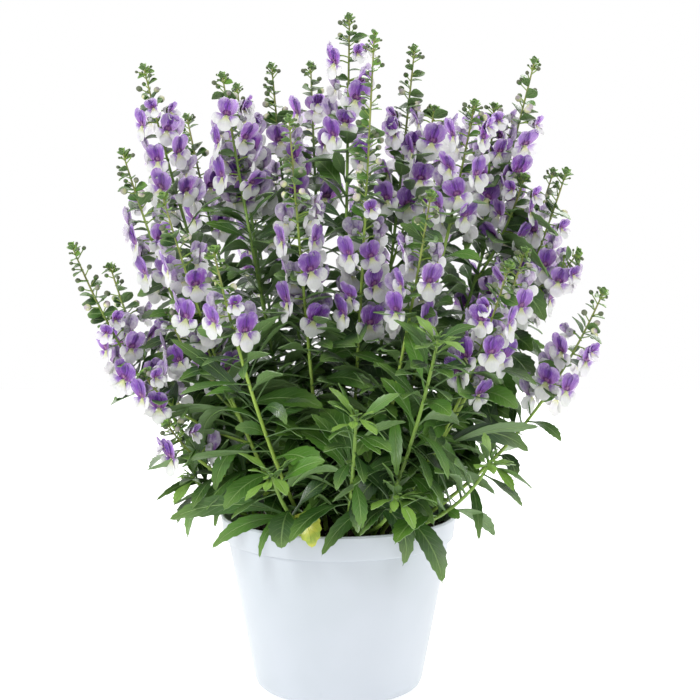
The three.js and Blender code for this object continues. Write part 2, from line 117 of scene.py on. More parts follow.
# Leaves. A pair of numbers holds a value at the foot of the stem and at its top.
LEAF_PAIR_SPACING = 66
LEAF_LONGEST = 64
LEAF_SHORTEST = 30
LEAF_SLENDER = 0.31
LEAF_RISE = (0.2, 0.7)
LEAF_BEND = (1.3, 0.6)
LEAF_CROWDING = 1.3
LEAF_FOLD = 0.16
LEAF_THICK = 0.7
LEAF_TOP = 0.97
LEAF_COLUMNS = 19
LEAF_TEETH = 0.11
PETIOLE_SHARE = 0.13
PETIOLE_FOOT = -0.18
LEAF_FILL_SPACING = 4.4
SHOOT_FILL_SPACING = 3
FILL_RISE = (0.25, 0.75)
FILL_BEND = (1, 0.6)
FILL_SLENDER = (0.22, 0.34)
FILL_TOP = 0.98
PLACE_TRIES = 8
# Where leaves start on a stem from the soil, on a fork or spray, and on a shoot
LOWEST_LEAF = 0.06
FORK_LOWEST_LEAF = 0.2
SHOOT_LOWEST_LEAF = 0.1
# What a large low leaf may have: how far it turns aside, its length, its width for its length, its rise,
# bend and roll, and its share of the stem
SKIRT_LEAVES = 3
SKIRT_ENDS = [(-1.1, 1.1), (42, 60), (0.22, 0.32), (0.25, 0.8), (0.7, 1.5), (-0.5, 0.5), (0.03, 0.2)]
# The young leaves at the tip of a shoot: those of the solids, then the smaller ones inside them
ROSETTE_LEAVES = 4
ROSETTE_LENGTHS = (16, 26)
ROSETTE_SLENDER = 0.36
HEART_LEAVES = 8
HEART_LENGTHS = (17, 6)
HEART_SLENDER = 0.42
# What a reached leaf may have: its share of the stem, how far it turns aside, its length for the distance,
# and its rise, bend and roll
REACH_ENDS = [(0.02, 0.65), (-0.5, 0.5), (1, 1.3), (0.05, 1.2), (0.3, 2.1), (-1.3, 1.3)]
REACH_TRIES = 90
REACH_STEPS = 120
REACH_LONGEST = 75
# How much each fault of a reached leaf counts, beside a millimetre between its tip and the tip's place
MISSED_FOOT = 0.7
LENGTH_USED = 0.1
TURNED_EDGE_ON = 9
# How far leaves that fill in keep from the pot and the soil
POT_CLEARANCE = 1.5
RIM_WIDTH = 4
# The size of the cells, across and up, that nothing fills in before
SHOWN_CELL = 4
# How low leaves may hang outside the rim: at the front between two sides, and elsewhere
HANG_FRONT = 99
HANG_FRONT_SIDES = (-46, 42)
HANG_ELSEWHERE = 108
# Where no leaf may fill in, because the rim shows there or the plant has nothing there: the lowest and
# highest x, y and z of each space
BARE = [
    ((-110, -52), (-100, 45), (90, 126)),
    ((46, 84), (-100, 10), (90, 121)),
    ((-200, -104), (-150, 150), (90, 214)),
    ((122, 200), (-150, 150), (90, 200)),
    ((76, 140), (-100, 60), (90, 136)),
    ((-120, -80), (-100, 60), (120, 138)),
    ((-25, -3), (-100, -66), (100, 127)),
]
# Stems that show in front of the leaves: the spike's number, and from where to where on its curve
SHOWN_STEMS = [(22, 0.15, 0.4), (23, 0.15, 0.6), (24, 0.1, 0.7)]
# Leaves that the photograph shows: a point at the foot of what shows, the tip, the width, how yellow it is
# and how young
REACHED_LEAVES = [
    ((-20, -62, 143), (-35, -86, 109), 18, 0, 0.15),
    ((-16, -74, 128), (-16, -85, 108), 17, 1, 0.2),
    ((8, -70, 122), (-10, -87, 106), 10, 0, 0.15),
    ((23, -66, 141), (39, -87, 98), 13, 0, 0.25),
    ((37, -66, 136), (46, -84, 113), 6, 0, 0.2),
    ((42, -62, 136), (59, -78, 122), 9, 0, 0.1),
    ((62, -54, 132), (75, -66, 124), 7, 0, 0.1),
    ((75, -40, 141), (88, -54, 107), 7, 0, 0.1),
    ((78, -34, 133), (98, -44, 108), 10, 0, 0.25),
    ((74, -36, 146), (99, -44, 134), 10, 0, 0.25),
    ((84, -30, 159), (112, -38, 143), 9, 0, 0.1),
    ((78, -30, 176), (119, -38, 160), 13, 0, 0.05),
    ((90, -20, 184), (118, -28, 169), 9, 0, 0.05),
    ((98, -30, 188), (124, -38, 176), 9, 0, 0.1),
    ((-64, -50, 127), (-110, -60, 121), 13, 0, 0.2),
    ((-73, -52, 134), (-76, -58, 116), 7, 0, 0.15),
    ((-48, -66, 117), (-78, -74, 109), 10, 0, 0.15),
    ((-46, -76, 116), (-48, -84, 104), 5, 0, 0.1),
    ((-74, -40, 138), (-115, -46, 131), 5, 0, 0.35),
    ((-77, -40, 137), (-106, -46, 128), 4, 0, 0.3),
    ((-89, -44, 151), (-120, -50, 152), 9, 0, 0.15),
    ((-70, -68, 237), (-101, -68, 240), 9, 0, 0.3),
    ((-62, -40, 163), (-79, -50, 135), 10, 0, 0.05),
    ((-68, -30, 193), (-84, -38, 166), 11, 0, 0),
    ((-78, -20, 192), (-97, -26, 176), 7, 0, 0),
    ((-85, -15, 200), (-106, -20, 197), 7, 0, 0),
    ((-93, -40, 171), (-105, -45, 164), 4, 0, 0.3),
    ((-102, -40, 183), (-111, -46, 189), 5, 0, 0.6),
    ((-102, -40, 180), (-112, -46, 180), 5, 0, 0.6),
    ((-30, -60, 169), (-64, -66, 181), 9, 0, 0.1),
    ((-5, -70, 196), (-32, -78, 185), 8, 0, 0.05),
    ((38, -60, 198), (74, -72, 184), 9, 0, 0.05),
    ((35, -66, 183), (36, -84, 152), 9, 0, 0.1),
]

# Florets. A pair of numbers holds a value at the foot of the raceme and at its last floret.
FLORET_SPACING = 11
FLORET_FULL_SPACING = 5.2
# Racemes that are thinner than the rest: the spike's number, and its florets' spacing
THIN_RACEMES = {1: 7.5, 2: 7.5, 24: 12}
FLORET_SIZE = (1.02, 0.86)
FLORET_FILL_SIZE = (1, 0.84)
FLORET_LOWEST = 0.01
FLORET_ROOM = 2.2
FLORET_REACH = 7
FLORET_RISE = 1.5
FLORET_BACK = 5.2
FLORET_LEAN = 0.42
THROAT_BACK = 2.6
THROAT_RADIUS = 3.6
THROAT_DEPTH = 3.6
PETAL_THICK = 0.35
# Spots over a floret's face, to its right and up, that tell how near it comes to another
FACE_SPOTS = ((0, 0), (-5, 7), (5, 7), (-7, -4), (7, -4), (0, -9), (0, 8))
# The tube and the calyx behind a floret: each a cone, and how far back its middle is
TUBE_CONE = dict(segments=8, radius1=1.4, radius2=3.3, depth=4.2)
TUBE_BACK = 3.4
TUBE_PURPLE = 0.35
CALYX_CONE = dict(segments=5, radius1=0.8, radius2=2.5, depth=2.6)
CALYX_BACK = 4.5
CALYX_YOUNG = 0.55

# Buds and bracts. A pair of numbers holds a value at the lowest bud and at the tip.
BUD_SPACING = 12.5
BUD_REACH = 6
BUD_RADIUS = (2.7, 1.2)
BUD_FILL_RADIUS = (3, 0.9)
BUD_FILL_SHARES = (0.33, 0.67)
BUD_RISE = 0.5
BUD_HEIGHT = 1.15
BUD_TOP = 0.97
BRACT_LENGTH = (9, 6)
BRACT_RISE = 0.3
BRACT_SLENDER = 0.36
FLORET_BRACT_LENGTH = (27, 8)
BUD_BRACT_LENGTH = (15, 6)
TUFT_BRACTS = 6
TUFT_LENGTH = (5, 3.2)
TUFT_BUDS = 4
TUFT_BUD_RADIUS = 0.75
PEDICEL_SIDES = 5
BUD_PEDICEL = [0.42, 0.36]
FLORET_PEDICEL = [0.5, 0.45, 0.7]
# An edge bent by more than this stays sharp round a petal or a leaf.
SHARP_ANGLE = 1

# The lobes of a floret of full size, in its own frame: x right, y up, z forward. A tone is the share of
# purple, of throat pink and of yellow-green, at the lobe's foot and at its end.
HOOD_LOBE = dict(
    base=(1.9, -1.6, -1.4), tip=(3.7, 11.8, -0.8), width=10.6, neck=0.8, cup=1.3, curl=1.3,
    foot=(0.92, 0.6, 0), end=(1, 0, 0),
)
SIDE_LOBE = dict(
    base=(1.9, -1, -1.2), tip=(9.5, -6.9, 2.2), width=8.9, neck=0.36, cup=-0.7, curl=-0.8,
    foot=(0.78, 0.12, 0.1), end=(0, 0, 0),
)
LIP_LOBE = dict(
    base=(0, -1.2, -0.9), tip=(0, -12.4, 4), width=10.4, neck=0.4, cup=-0.6, curl=-1.4,
    foot=(0.05, 0, 1), end=(0.02, 0, 0),
)
FLORET_VARIANTS = 5
FLORET_TRIES = 14
LOBE_FLARE = 0.2
# Florets that are about to open: how many a raceme has, how wide they are for open ones, how far they
# are cupped forward, and how wide their throats are and how far painted shade darkens them
OPENING_COUNT = 2
OPENING_SHARE = 0.52
OPENING_CUP = 0.4
OPENING_THROAT = 3.4
OPENING_PAINTED_SHADE = 0.75
# How much of its purple a petal keeps on its back
BACK_FADE = 0.5

# Seeds of the draws that the solids use too
TWIST_SEED = 500
SHOOT_TWIST_SEED = 600
RACEME_SEED = 1000
LEAF_SEED = 2000
ROSETTE_SEED = 3000
SHOOT_LEAF_SEED = 4000
# Seeds of what only the scene has, and the number from which sprays count on after the spikes
SPRAY_FIRST_INDEX = 100
SPRAY_LEAF_SEED = 5000
RACEME_FILL_SEED = 7000
STEM_FILL_SEED = 8000
SHOOT_FILL_SEED = 9000
REACHED_SEED = 77
FLORET_SHAPE_SEED = 40
CRUMB_SEED = 31

# An element of the frame is recognised by one of its points, within this distance.
FOUND_WITHIN = 0.12
# The steps aside that the solids try for it, in sides of its limb and in turn
TURNS = [
    (0, 0), (0, 0.3), (0, -0.3), (1, 0), (3, 0), (1, -0.3),
    (3, 0.3), (0, 0.5), (0, -0.5), (2, 0), (0, 0.8), (0, -0.8),
]

# Each raceme: where it ends, its length, the length that is still in bud, and its fork.
SPIKES = [
    ((-167, -20, 289), 112, 62, None),
    ((-147, 18, 272), 68, 40, (1, 0.3)),
    ((-136, -5, 347), 98, 44, None),
    ((-125, 30, 399), 98, 32, None),
    ((-101, 80, 365), 86, 36, None),
    ((-74, 20, 394), 84, 24, None),
    ((-66, 50, 386), 84, 28, (6, 0.5)),
    ((-44, 62, 399), 104, 46, None),
    ((-30, -45, 370), 134, 62, None),
    ((-19, 95, 399), 94, 28, None),
    ((7, 25, 431), 94, 24, None),
    ((22, -50, 421), 196, 124, None),
    ((49, 40, 411), 118, 52, None),
    ((56, -75, 326), 96, 38, None),
    ((85, -20, 378), 86, 16, None),
    ((126, 35, 403), 112, 48, None),
    ((141, 60, 330), 76, 40, None),
    ((146, 20, 333), 106, 38, (17, 0.4)),
    ((165, -35, 262), 86, 40, None),
    ((103, -85, 284), 94, 32, None),
    ((115, -50, 289), 76, 18, (20, 0.35)),
    ((-107, -55, 323), 98, 42, None),
    ((-74, -95, 294), 60, 40, None),
    ((-106, -50, 181), 38, 14, (22, 0.12)),
    ((70, 110, 358), 90, 30, None),
    ((-62, 128, 324), 90, 34, None),
    ((22, 138, 336), 90, 32, None),
    ((112, 112, 288), 84, 34, None),
]

# Side sprays that the solids leave out: the number of the spike that carries each, where it leaves that
# spike's curve, where it ends, its length and the length that is still in bud
SPRAYS = [
    (18, 0.5, (153, 10, 282), 76, 14),
    (18, 0.42, (134, 40, 268), 56, 6),
    (22, 0.4, (-108, -10, 246), 48, 10),
    (22, 0.36, (-87, -42, 246), 46, 8),
    (13, 0.55, (62, 30, 372), 50, 8),
    (16, 0.55, (118, 5, 330), 54, 10),
    (16, 0.6, (100, 30, 374), 58, 10),
    (22, 0.3, (-121, -42, 211), 30, 5),
]

# Where each leafy shoot ends
SHOOTS = [
    (11, -108, 196),
    (60, -100, 242),
    (93, -84, 164),
    (-40, -88, 156),
    (36, -92, 144),
    (-93, -28, 144),
]

# Studio, in metres: the floor in millimetres, as every mesh is; each light's place, width and power
FLOOR_HALF = 1200
FLOOR_GLOW = 0.4
SURROUND = 0.71
LIGHTS = dict(
    key=((-1.35, -1.0, 1.4), 0.5, 22),
    fill=((1.6, -0.75, 0.9), 0.9, 8),
    back=((0.4, 1.4, 1.3), 1.0, 20),
)
LIGHT_AIM = Vector((0, 0, 0.2))
LENS = 122
SENSOR = 36
EYE = Vector((0.0073, -1.5, 0.436))
EYE_AIM = Vector((0.0073, 0, 0.22))

# Every finish's colours, as they look on a screen
COLOURS = dict(
    hood_dark="481285",
    hood_bright="68259f",
    hood_tint="8f58c4",
    hood_streak="c9a6e8",
    hood_margin="d8c8ee",
    mark_ring="5c1f63",
    mark_middle="d79cc4",
    lip_white="fdfbf9",
    lip_lilac="f0eaf4",
    lip_vein="b79ad2",
    lip_foot="c4cb58",
    throat_edge="74287c",
    throat_pink="dcb0d2",
    # The next colour is painted shade: the nearly black hollow deep in a floret that only opens
    throat_painted_shade="2e0f2b",
    leaf_dark="14310d",
    leaf_green="254c14",
    leaf_light="55842d",
    leaf_tip="769b40",
    leaf_vein="9aba70",
    leaf_back="4f6e3c",
    leaf_back_pale="76955a",
    leaf_young="6f9e3c",
    leaf_young_bright="9cc255",
    leaf_yellow="cfd054",
    leaf_yellow_green="93ae43",
    # The next two stem colours are painted shade for stems behind and painted light for stems in front
    stem_shade="446f2d",
    stem_painted_light="aac653",
    stem_blotch="8aae3e",
    stem_line="a9c46a",
    flush_brown="86784a",
    flush_green="8b9a4e",
    bud_green="3f5a34",
    bud_brown="6b6a52",
    bud_cream="dbdf9f",
    bud_pale="d6d3c8",
    bud_purple="9a6abf",
    bud_calyx="4e6f33",
    pot_blue="bac1c8",
    pot_pale="c0c6ce",
    pot_shade="b3bac2",
    peat_dark="241a13",
    peat="4a3627",
    bark="7b5d42",
    floor_grey="f6f6f6",
    floor_white="fafafa",
)

# The material slots of every plant piece
STEM, PETAL, LEAF, BUD = range(4)


# Layout

def seeded(seed):
    """The same draw between two numbers as the solids use."""
    state = seed

    def draw(low, high):
        nonlocal state
        state = (state * 1664525 + 1013904223) & 0xFFFFFFFF
        return low + (high - low) * state / 4294967296

    return draw


def mix(low, high, share):
    """The value at a share of the way from low to high."""
    return low + (high - low) * share


def round_half_up(value):
    """The nearest whole number, as the solids round it."""
    return math.floor(value + 0.5)


def side_of(step):
    """Growth goes round a limb in opposite pairs, each pair a quarter turn from the last."""
    return 2 * step + (step // 2) % 2


class Curve:
    """A stem's curve: outwards from its start, then up towards its tip."""

    def __init__(self, start, tip):
        run = math.hypot(tip.x - start.x, tip.y - start.y)
        lean = min(1, run / (tip.z - start.z))
        sweep = 0.5 + 0.2 * lean
        lift = 0.5 - 0.2 * lean
        self.start = start
        self.tip = tip
        self.control = Vector((
            mix(start.x, tip.x, sweep),
            mix(start.y, tip.y, sweep),
            mix(start.z, tip.z, lift),
        ))

    def point(self, t):
        return (1 - t) ** 2 * self.start + 2 * t * (1 - t) * self.control + t * t * self.tip

    def heading(self, t):
        return (2 * (1 - t) * (self.control - self.start) + 2 * t * (self.tip - self.control)).normalized()

    def length(self):
        points = [self.point(i / 200) for i in range(201)]
        return sum((b - a).length for a, b in zip(points, points[1:]))


class Limb:
    """Part of a curve that carries growth on its four sides."""

    def __init__(self, curve, low, high, half_low, half_high, segments, twist):
        self.curve, self.low, self.high = curve, low, high
        self.half_low, self.half_high = half_low, half_high
        self.along = curve.heading((low + high) / 2)
        first = Vector((math.cos(twist), math.sin(twist), 0))
        self.first = (first - self.along * first.dot(self.along)).normalized()
        self.second = self.along.cross(self.first)
        self.centres = [curve.point(mix(low, high, k / segments)) for k in range(segments + 1)]

    def half(self, share):
        return mix(self.half_low, self.half_high, share)

    def centre(self, share):
        segments = len(self.centres) - 1
        k = min(segments - 1, int(share * segments))
        return self.centres[k].lerp(self.centres[k + 1], share * segments - k)

    def side(self, index, turn):
        """The direction out of one of the four sides, turned a little further."""
        angle = index * QUARTER + turn
        return self.first * math.cos(angle) + self.second * math.sin(angle)

    def turn_to(self, heading):
        """The turn from the first side that points the way of a heading round the pot's axis."""
        direction = Vector((math.cos(heading), math.sin(heading), 0))
        return math.atan2(direction.dot(self.second), direction.dot(self.first))

    def anchor(self, share, side):
        return self.centre(share) + self.side(side, 0) * self.half(share)


class Spike:
    """A leafy stem with a raceme at its end."""

    def __init__(self, index, spikes):
        _, self.raceme, self.budded, fork = SPIKES[index]
        self.index = index
        self.twist = seeded(TWIST_SEED + index)(0, QUARTER)
        self.parent = spikes[fork[0] - 1] if fork else None
        lay_limbs(self, spike_curve(index + 1), STEM_FOOT_HALF)
        self.stem_node = numbered("stem", self.parent.index if self.parent else index)
        self.raceme_node = numbered("raceme", index)


class Spray:
    """A flowering side branch of a spike, with no solid of its own."""

    def __init__(self, index, spikes):
        carrier, share, tip, self.raceme, self.budded = SPRAYS[index]
        self.index = SPRAY_FIRST_INDEX + index
        self.parent = spikes[carrier - 1]
        self.twist = seeded(TWIST_SEED + self.index)(0, QUARTER)
        lay_limbs(self, Curve(self.parent.curve.point(share), Vector(tip)), STEM_TOP_HALF)


def spike_curve(number):
    """The curve of a spike, from the soil or from the spike that it forks from."""
    tip, _, _, fork = SPIKES[number - 1]
    tip = Vector(tip)
    start = spike_curve(fork[0]).point(fork[1]) if fork else stem_base(tip, BASE_SHARE)
    return Curve(start, tip)


def lay_limbs(growth, curve, foot_half):
    """The stem and the rachis of a spike or spray along its curve."""
    growth.curve = curve
    tip_speed = 2 * (curve.tip - curve.control).length
    low = 1 - growth.raceme / tip_speed
    growth.stem = Limb(curve, 0, low, foot_half, STEM_TOP_HALF, STEM_SEGMENTS, growth.twist)
    ahead = curve.heading(0.85)
    gap = NODE_GAP + 1.2 * STEM_TOP_HALF * math.sin(growth.stem.along.angle(ahead))
    low += gap / tip_speed
    growth.rachis = Limb(curve, low, 1, RACHIS_FOOT_HALF, RACHIS_TIP_HALF, RACHIS_SEGMENTS, growth.twist)
    growth.open_length = growth.raceme - growth.budded
    growth.open_share = 1 - growth.budded / growth.raceme


class Shoot:
    """A leafy stem with no flowers."""

    def __init__(self, index):
        tip = Vector(SHOOTS[index])
        self.index = index
        self.twist = seeded(SHOOT_TWIST_SEED + index)(0, QUARTER)
        self.parent = None
        self.curve = Curve(stem_base(tip, SHOOT_BASE_SHARE), tip)
        self.stem = Limb(self.curve, 0, 1, STEM_FOOT_HALF, STEM_TOP_HALF, STEM_SEGMENTS, self.twist)
        self.stem_node = numbered("shoot", index)


def stem_base(tip, share):
    """Where a stem leaves the soil, at a share of its tip's distance from the middle."""
    return Vector((share * tip.x, share * tip.y, SOIL_TOP + BASE_LIFT))


def numbered(kind, index):
    """A node's name, counted from one."""
    return f"{kind}_{index + 1:02d}"


class FrameNode:
    """The points of a frame node, in millimetres, to find an element of it by one of its points."""

    def __init__(self, name):
        vertices = frame["nodes"][name].data.vertices
        self.tree = kdtree.KDTree(len(vertices))
        for vertex in vertices:
            self.tree.insert(vertex.co / MM, vertex.index)
        self.tree.balance()

    def place_of(self, kind, limb, share, side, turn, *details):
        """The place that an element has in the frame, or None where it was left out."""
        for side_step, turn_step in TURNS:
            place = kind(limb, share, side + side_step, turn + turn_step, *details)
            if self.tree.find(place.key_point())[2] < FOUND_WITHIN:
                return place
        return None


# Where an element grows: its directions, its own lengths, and the key point that tells it in the frame

class LeafPlace:
    """A leaf's petiole and arched midrib, and the point at a share along it, across it and above it."""

    def __init__(self, limb, share, side, turn, values):
        self.length, rise, self.bend, self.roll, slender = values
        self.start = limb.side(side, turn) * math.cos(rise) + limb.along * math.sin(rise)
        self.anchor = limb.anchor(share, side)
        self.level = Vector((self.start.x, self.start.y, 0)).normalized()
        self.pitch = math.asin(self.start.z)
        self.petiole = PETIOLE_SHARE * self.length
        self.blade = self.length - self.petiole
        self.half_width = self.length * slender / 2

    def key_point(self):
        return self.spot(1, 0, 0)

    def spot(self, u, across, high):
        ahead = max(u, 0)
        turned = self.pitch - self.bend * ahead
        run = self.blade * (math.sin(self.pitch) - math.sin(turned)) / self.bend
        climb = self.blade * (math.cos(turned) - math.cos(self.pitch)) / self.bend
        normal = UP * math.cos(turned) - self.level * math.sin(turned)
        aside = UP.cross(self.level)
        wide = aside * math.cos(self.roll) + normal * math.sin(self.roll)
        lifted = normal * math.cos(self.roll) - aside * math.sin(self.roll)
        stalk = self.petiole + min(u, 0) * self.blade
        point = self.anchor + self.start * stalk + self.level * run + UP * climb
        return point + wide * across + lifted * high


class StalkPlace:
    """A bud's or bract's stalk direction, and the directions across it."""

    def __init__(self, limb, share, side, turn, rise):
        out = limb.side(side, turn)
        self.stalk = out * math.cos(rise) + limb.along * math.sin(rise)
        self.across = limb.along.cross(out)
        self.lift = self.stalk.cross(self.across)
        self.anchor = limb.anchor(share, side)


class BudPlace(StalkPlace):
    """A bud of one radius at the end of its pedicel."""

    def __init__(self, limb, share, side, turn, rise, radius):
        super().__init__(limb, share, side, turn, rise)
        self.radius = radius

    def key_point(self):
        return self.anchor + self.stalk * (BUD_REACH + self.radius + 1.2 * self.radius)


class BractPlace(StalkPlace):
    """A bract of one length."""

    def __init__(self, limb, share, side, turn, rise, length):
        super().__init__(limb, share, side, turn, rise)
        self.length = length

    def key_point(self):
        return self.anchor + self.stalk * self.length - self.lift * 0.1 * self.length


class FloretPlace:
    """A floret's pedicel and the frame of its face: right, top and forward."""

    def __init__(self, limb, share, side, turn, size, nod):
        out = limb.side(side, turn)
        self.face = Vector((out.x, out.y, 0)).normalized() * math.cos(nod) - UP * math.sin(nod)
        self.top = (UP - self.face * UP.dot(self.face)).normalized()
        self.right = self.top.cross(self.face)
        self.anchor = limb.anchor(share, side)
        self.back = self.anchor + out * FLORET_REACH + limb.along * FLORET_RISE
        self.centre = self.back + self.face * FLORET_BACK * size
        self.size = size

    def key_point(self):
        return self.centre - self.face * THROAT_BACK * self.size

    def spots(self):
        """Points spread over the floret, to tell how near it comes to another."""
        yield self.back
        for aside, high in FACE_SPOTS:
            yield self.centre + (self.right * aside + self.top * high) * self.size

    def matrix(self):
        axes = Matrix((self.right, self.top, self.face)).transposed().to_4x4()
        return Matrix.Translation(self.centre) @ axes @ Matrix.Scale(self.size, 4)


# Small meshes that are grown many times

def new_bmesh():
    """A bmesh with the layers that the plant's materials read."""
    bm = bmesh.new()
    bm.verts.layers.float_color.new("zone")
    bm.verts.layers.float_vector.new("grain")
    return bm


def disc_grid(bm, across, along):
    """A square grid pulled round into a disc, two units wide."""
    made = bmesh.ops.create_grid(bm, x_segments=across, y_segments=along, size=1)["verts"]
    for v in made:
        a, b = v.co.x, v.co.y
        v.co.x = a * math.sqrt(1 - b * b / 2)
        v.co.y = b * math.sqrt(1 - a * a / 2)
    return made


def petal_lobe(bm, lobe, side, chance):
    """One rounded lobe of a floret, on its left or right side, a little different each time."""
    zone_layer = bm.verts.layers.float_color["zone"]
    grain_layer = bm.verts.layers.float_vector["grain"]
    mirrored = Vector((side, 1, 1))
    slip = Vector([chance.uniform(-0.6, 0.6) for _ in range(3)])
    base = Vector(lobe["base"]) * mirrored
    tip = Vector(lobe["tip"]) * mirrored + slip
    width = lobe["width"] * chance.uniform(0.93, 1.07)
    ahead = (tip - base).normalized()
    across = ahead.cross(Vector((0, 0, 1))).normalized()
    lift = across.cross(ahead)
    length = (tip - base).length
    phase = chance.uniform(0, 6)
    for v in disc_grid(bm, 3, 4):
        aside = v.co.x
        share = (v.co.y + 1) / 2
        open_out = min(1, max(0, (share - 0.1) / 0.45))
        spread = mix(lobe["neck"], 1, open_out * open_out * (3 - 2 * open_out))
        frill = 0.45 * math.sin(6 * aside + 5 * share + phase) * share
        height = lobe["cup"] * aside * aside + lobe["curl"] * share ** 2.5 + frill
        v[zone_layer] = (*[mix(low, high, share) for low, high in zip(lobe["foot"], lobe["end"])], 1)
        v[grain_layer] = (aside * side, share, 0)
        wide = width / 2 * spread * (1 + LOBE_FLARE * share * share)
        v.co = base + ahead * (length * share) + across * (aside * wide) + lift * height


def cup_forward(bm):
    """Makes a floret's lobes small and upright, as they are before they spread."""
    bmesh.ops.scale(bm, vec=(OPENING_SHARE, OPENING_SHARE, 1), verts=bm.verts[:])
    for v in bm.verts:
        v.co.z += OPENING_CUP * math.hypot(v.co.x, v.co.y)


def throat_cup(bm, radius, dark):
    """The hollow behind the lobes, deepest in the middle, with painted shade in its middle in a floret that
    is opening.
    """
    zone_layer = bm.verts.layers.float_color["zone"]
    grain_layer = bm.verts.layers.float_vector["grain"]
    for v in disc_grid(bm, 3, 3):
        far = min(1, math.hypot(v.co.x, v.co.y))
        low = max(0, -v.co.y)
        # In a floret that only opens, the throat's middle is pushed into nearly black painted shade
        v[zone_layer] = (0.75 * (1 - low), 1 - 0.55 * far + dark, low * 0.9, 1)
        v[grain_layer] = (v.co.x, 0.1, 0)
        height = -THROAT_DEPTH + 0.75 * THROAT_DEPTH * far * far
        v.co = Vector((v.co.x * radius, v.co.y * radius * 0.9, height))


def floret_mesh(variant, opening=False):
    """A two-lipped floret, hood up, seen from +Z: two purple lobes over three white ones."""
    chance = random.Random(FLORET_SHAPE_SEED + variant)
    bm = new_bmesh()
    for side in (-1, 1):
        petal_lobe(bm, HOOD_LOBE, side, chance)
        petal_lobe(bm, SIDE_LOBE, side, chance)
    petal_lobe(bm, LIP_LOBE, 1, chance)
    if opening:
        cup_forward(bm)
        throat_cup(bm, OPENING_THROAT * OPENING_SHARE, OPENING_PAINTED_SHADE)
    else:
        throat_cup(bm, THROAT_RADIUS, 0)
    for face in bm.faces:
        face.material_index = PETAL
    bmesh.ops.recalc_face_normals(bm, faces=bm.faces[:])
    bmesh.ops.solidify(bm, geom=bm.faces[:], thickness=PETAL_THICK)
    close_sheet(bm)
    fade_backs(bm)
    add_cone(bm, TUBE_CONE, TUBE_BACK, TUBE_PURPLE, PETAL)
    add_cone(bm, CALYX_CONE, CALYX_BACK, CALYX_YOUNG, LEAF)
    return finished_mesh(bm, f"floret_template_{variant}")


def close_sheet(bm):
    """Turns the faces of a thickened sheet outwards, and keeps the edges round its rim sharp."""
    bmesh.ops.recalc_face_normals(bm, faces=bm.faces[:])
    for edge in bm.edges:
        if len(edge.link_faces) == 2 and edge.calc_face_angle(0) > SHARP_ANGLE:
            edge.smooth = False


def fade_backs(bm):
    """Petals are paler behind."""
    zone_layer = bm.verts.layers.float_color["zone"]
    for v in bm.verts:
        if sum(face.normal.z for face in v.link_faces) < 0:
            v[zone_layer].x *= BACK_FADE


def add_cone(bm, cone, back, tone, slot):
    """The tube or the calyx behind a floret, its narrow end at the back."""
    zone_layer = bm.verts.layers.float_color["zone"]
    made = bmesh.ops.create_cone(bm, **cone, matrix=Matrix.Translation((0, 0, -back)))["verts"]
    for v in made:
        v[zone_layer] = (tone, 0, 0, 1)
        for face in v.link_faces:
            face.material_index = slot


def bud_mesh():
    """A round bud, one unit in radius, standing on the origin along +Z, in a green calyx."""
    bm = new_bmesh()
    grain_layer = bm.verts.layers.float_vector["grain"]
    made = bmesh.ops.create_uvsphere(bm, u_segments=8, v_segments=6, radius=1)["verts"]
    for v in made:
        v[grain_layer] = (0, (v.co.z + 1) / 2, 0)
        v.co.z = BUD_HEIGHT * (v.co.z + 1)
    for face in bm.faces:
        face.material_index = BUD
    return finished_mesh(bm, "bud_template")


def blade_mesh(name, columns, rows, foot, width, teeth):
    """A flat blade in its own measures: x along it from its foot, y across from -1 to 1, z from 0 to 1."""
    bm = new_bmesh()
    zone_layer = bm.verts.layers.float_color["zone"]
    grain_layer = bm.verts.layers.float_vector["grain"]
    made = bmesh.ops.create_grid(bm, x_segments=columns, y_segments=rows, size=1)["verts"]
    for v in made:
        step = round((v.co.x + 1) / 2 * columns)
        u = mix(foot, 1, step / columns)
        tooth = teeth if step % 2 and u > 0.4 else 0
        edge = abs(v.co.y) ** 4
        v[grain_layer] = (u, v.co.y, 0)
        v.co.x = u - 0.25 * tooth * edge
        v.co.y *= width(u) * (1 - tooth * edge)
    bmesh.ops.solidify(bm, geom=bm.faces[:], thickness=1)
    middle = sum(v.co.z for v in bm.verts) / len(bm.verts)
    for v in bm.verts:
        upper = v.co.z > middle
        v[zone_layer] = (0, 0 if upper else 1, 0, 1)
        v.co.z = 1 if upper else 0
    close_sheet(bm)
    for face in bm.faces:
        face.material_index = LEAF
    return finished_mesh(bm, name)


def leaf_width(u):
    """Widest past its middle, bluntly pointed, with a narrow petiole below the foot of the blade."""
    petiole = 0.12 * (1 - 0.85 * max(u, 0))
    return max(petiole, math.sin(math.pi * max(u, 0) ** 1.25) ** 0.9)


def bract_width(u):
    """Broad and oval, with a short narrow foot."""
    return max(0.1, math.sin(math.pi * u ** 1.1) ** 0.7)


def finished_mesh(bm, name):
    """A template's mesh, smooth but for its sharp edges."""
    mesh = bpy.data.meshes.new(name)
    for face in bm.faces:
        face.smooth = True
    bm.to_mesh(mesh)
    bm.free()
    return mesh


def grown_copy(bm, mesh):
    """Adds a template to a piece, and gives back its new points."""
    before = len(bm.verts)
    bm.from_mesh(mesh)
    bm.verts.ensure_lookup_table()
    return bm.verts[before:]


def set_tint(bm, points, tint):
    """How light one copy of a template is, from 0 to 1."""
    grain_layer = bm.verts.layers.float_vector["grain"]
    for v in points:
        v[grain_layer].z = tint


# Growing the elements of a piece

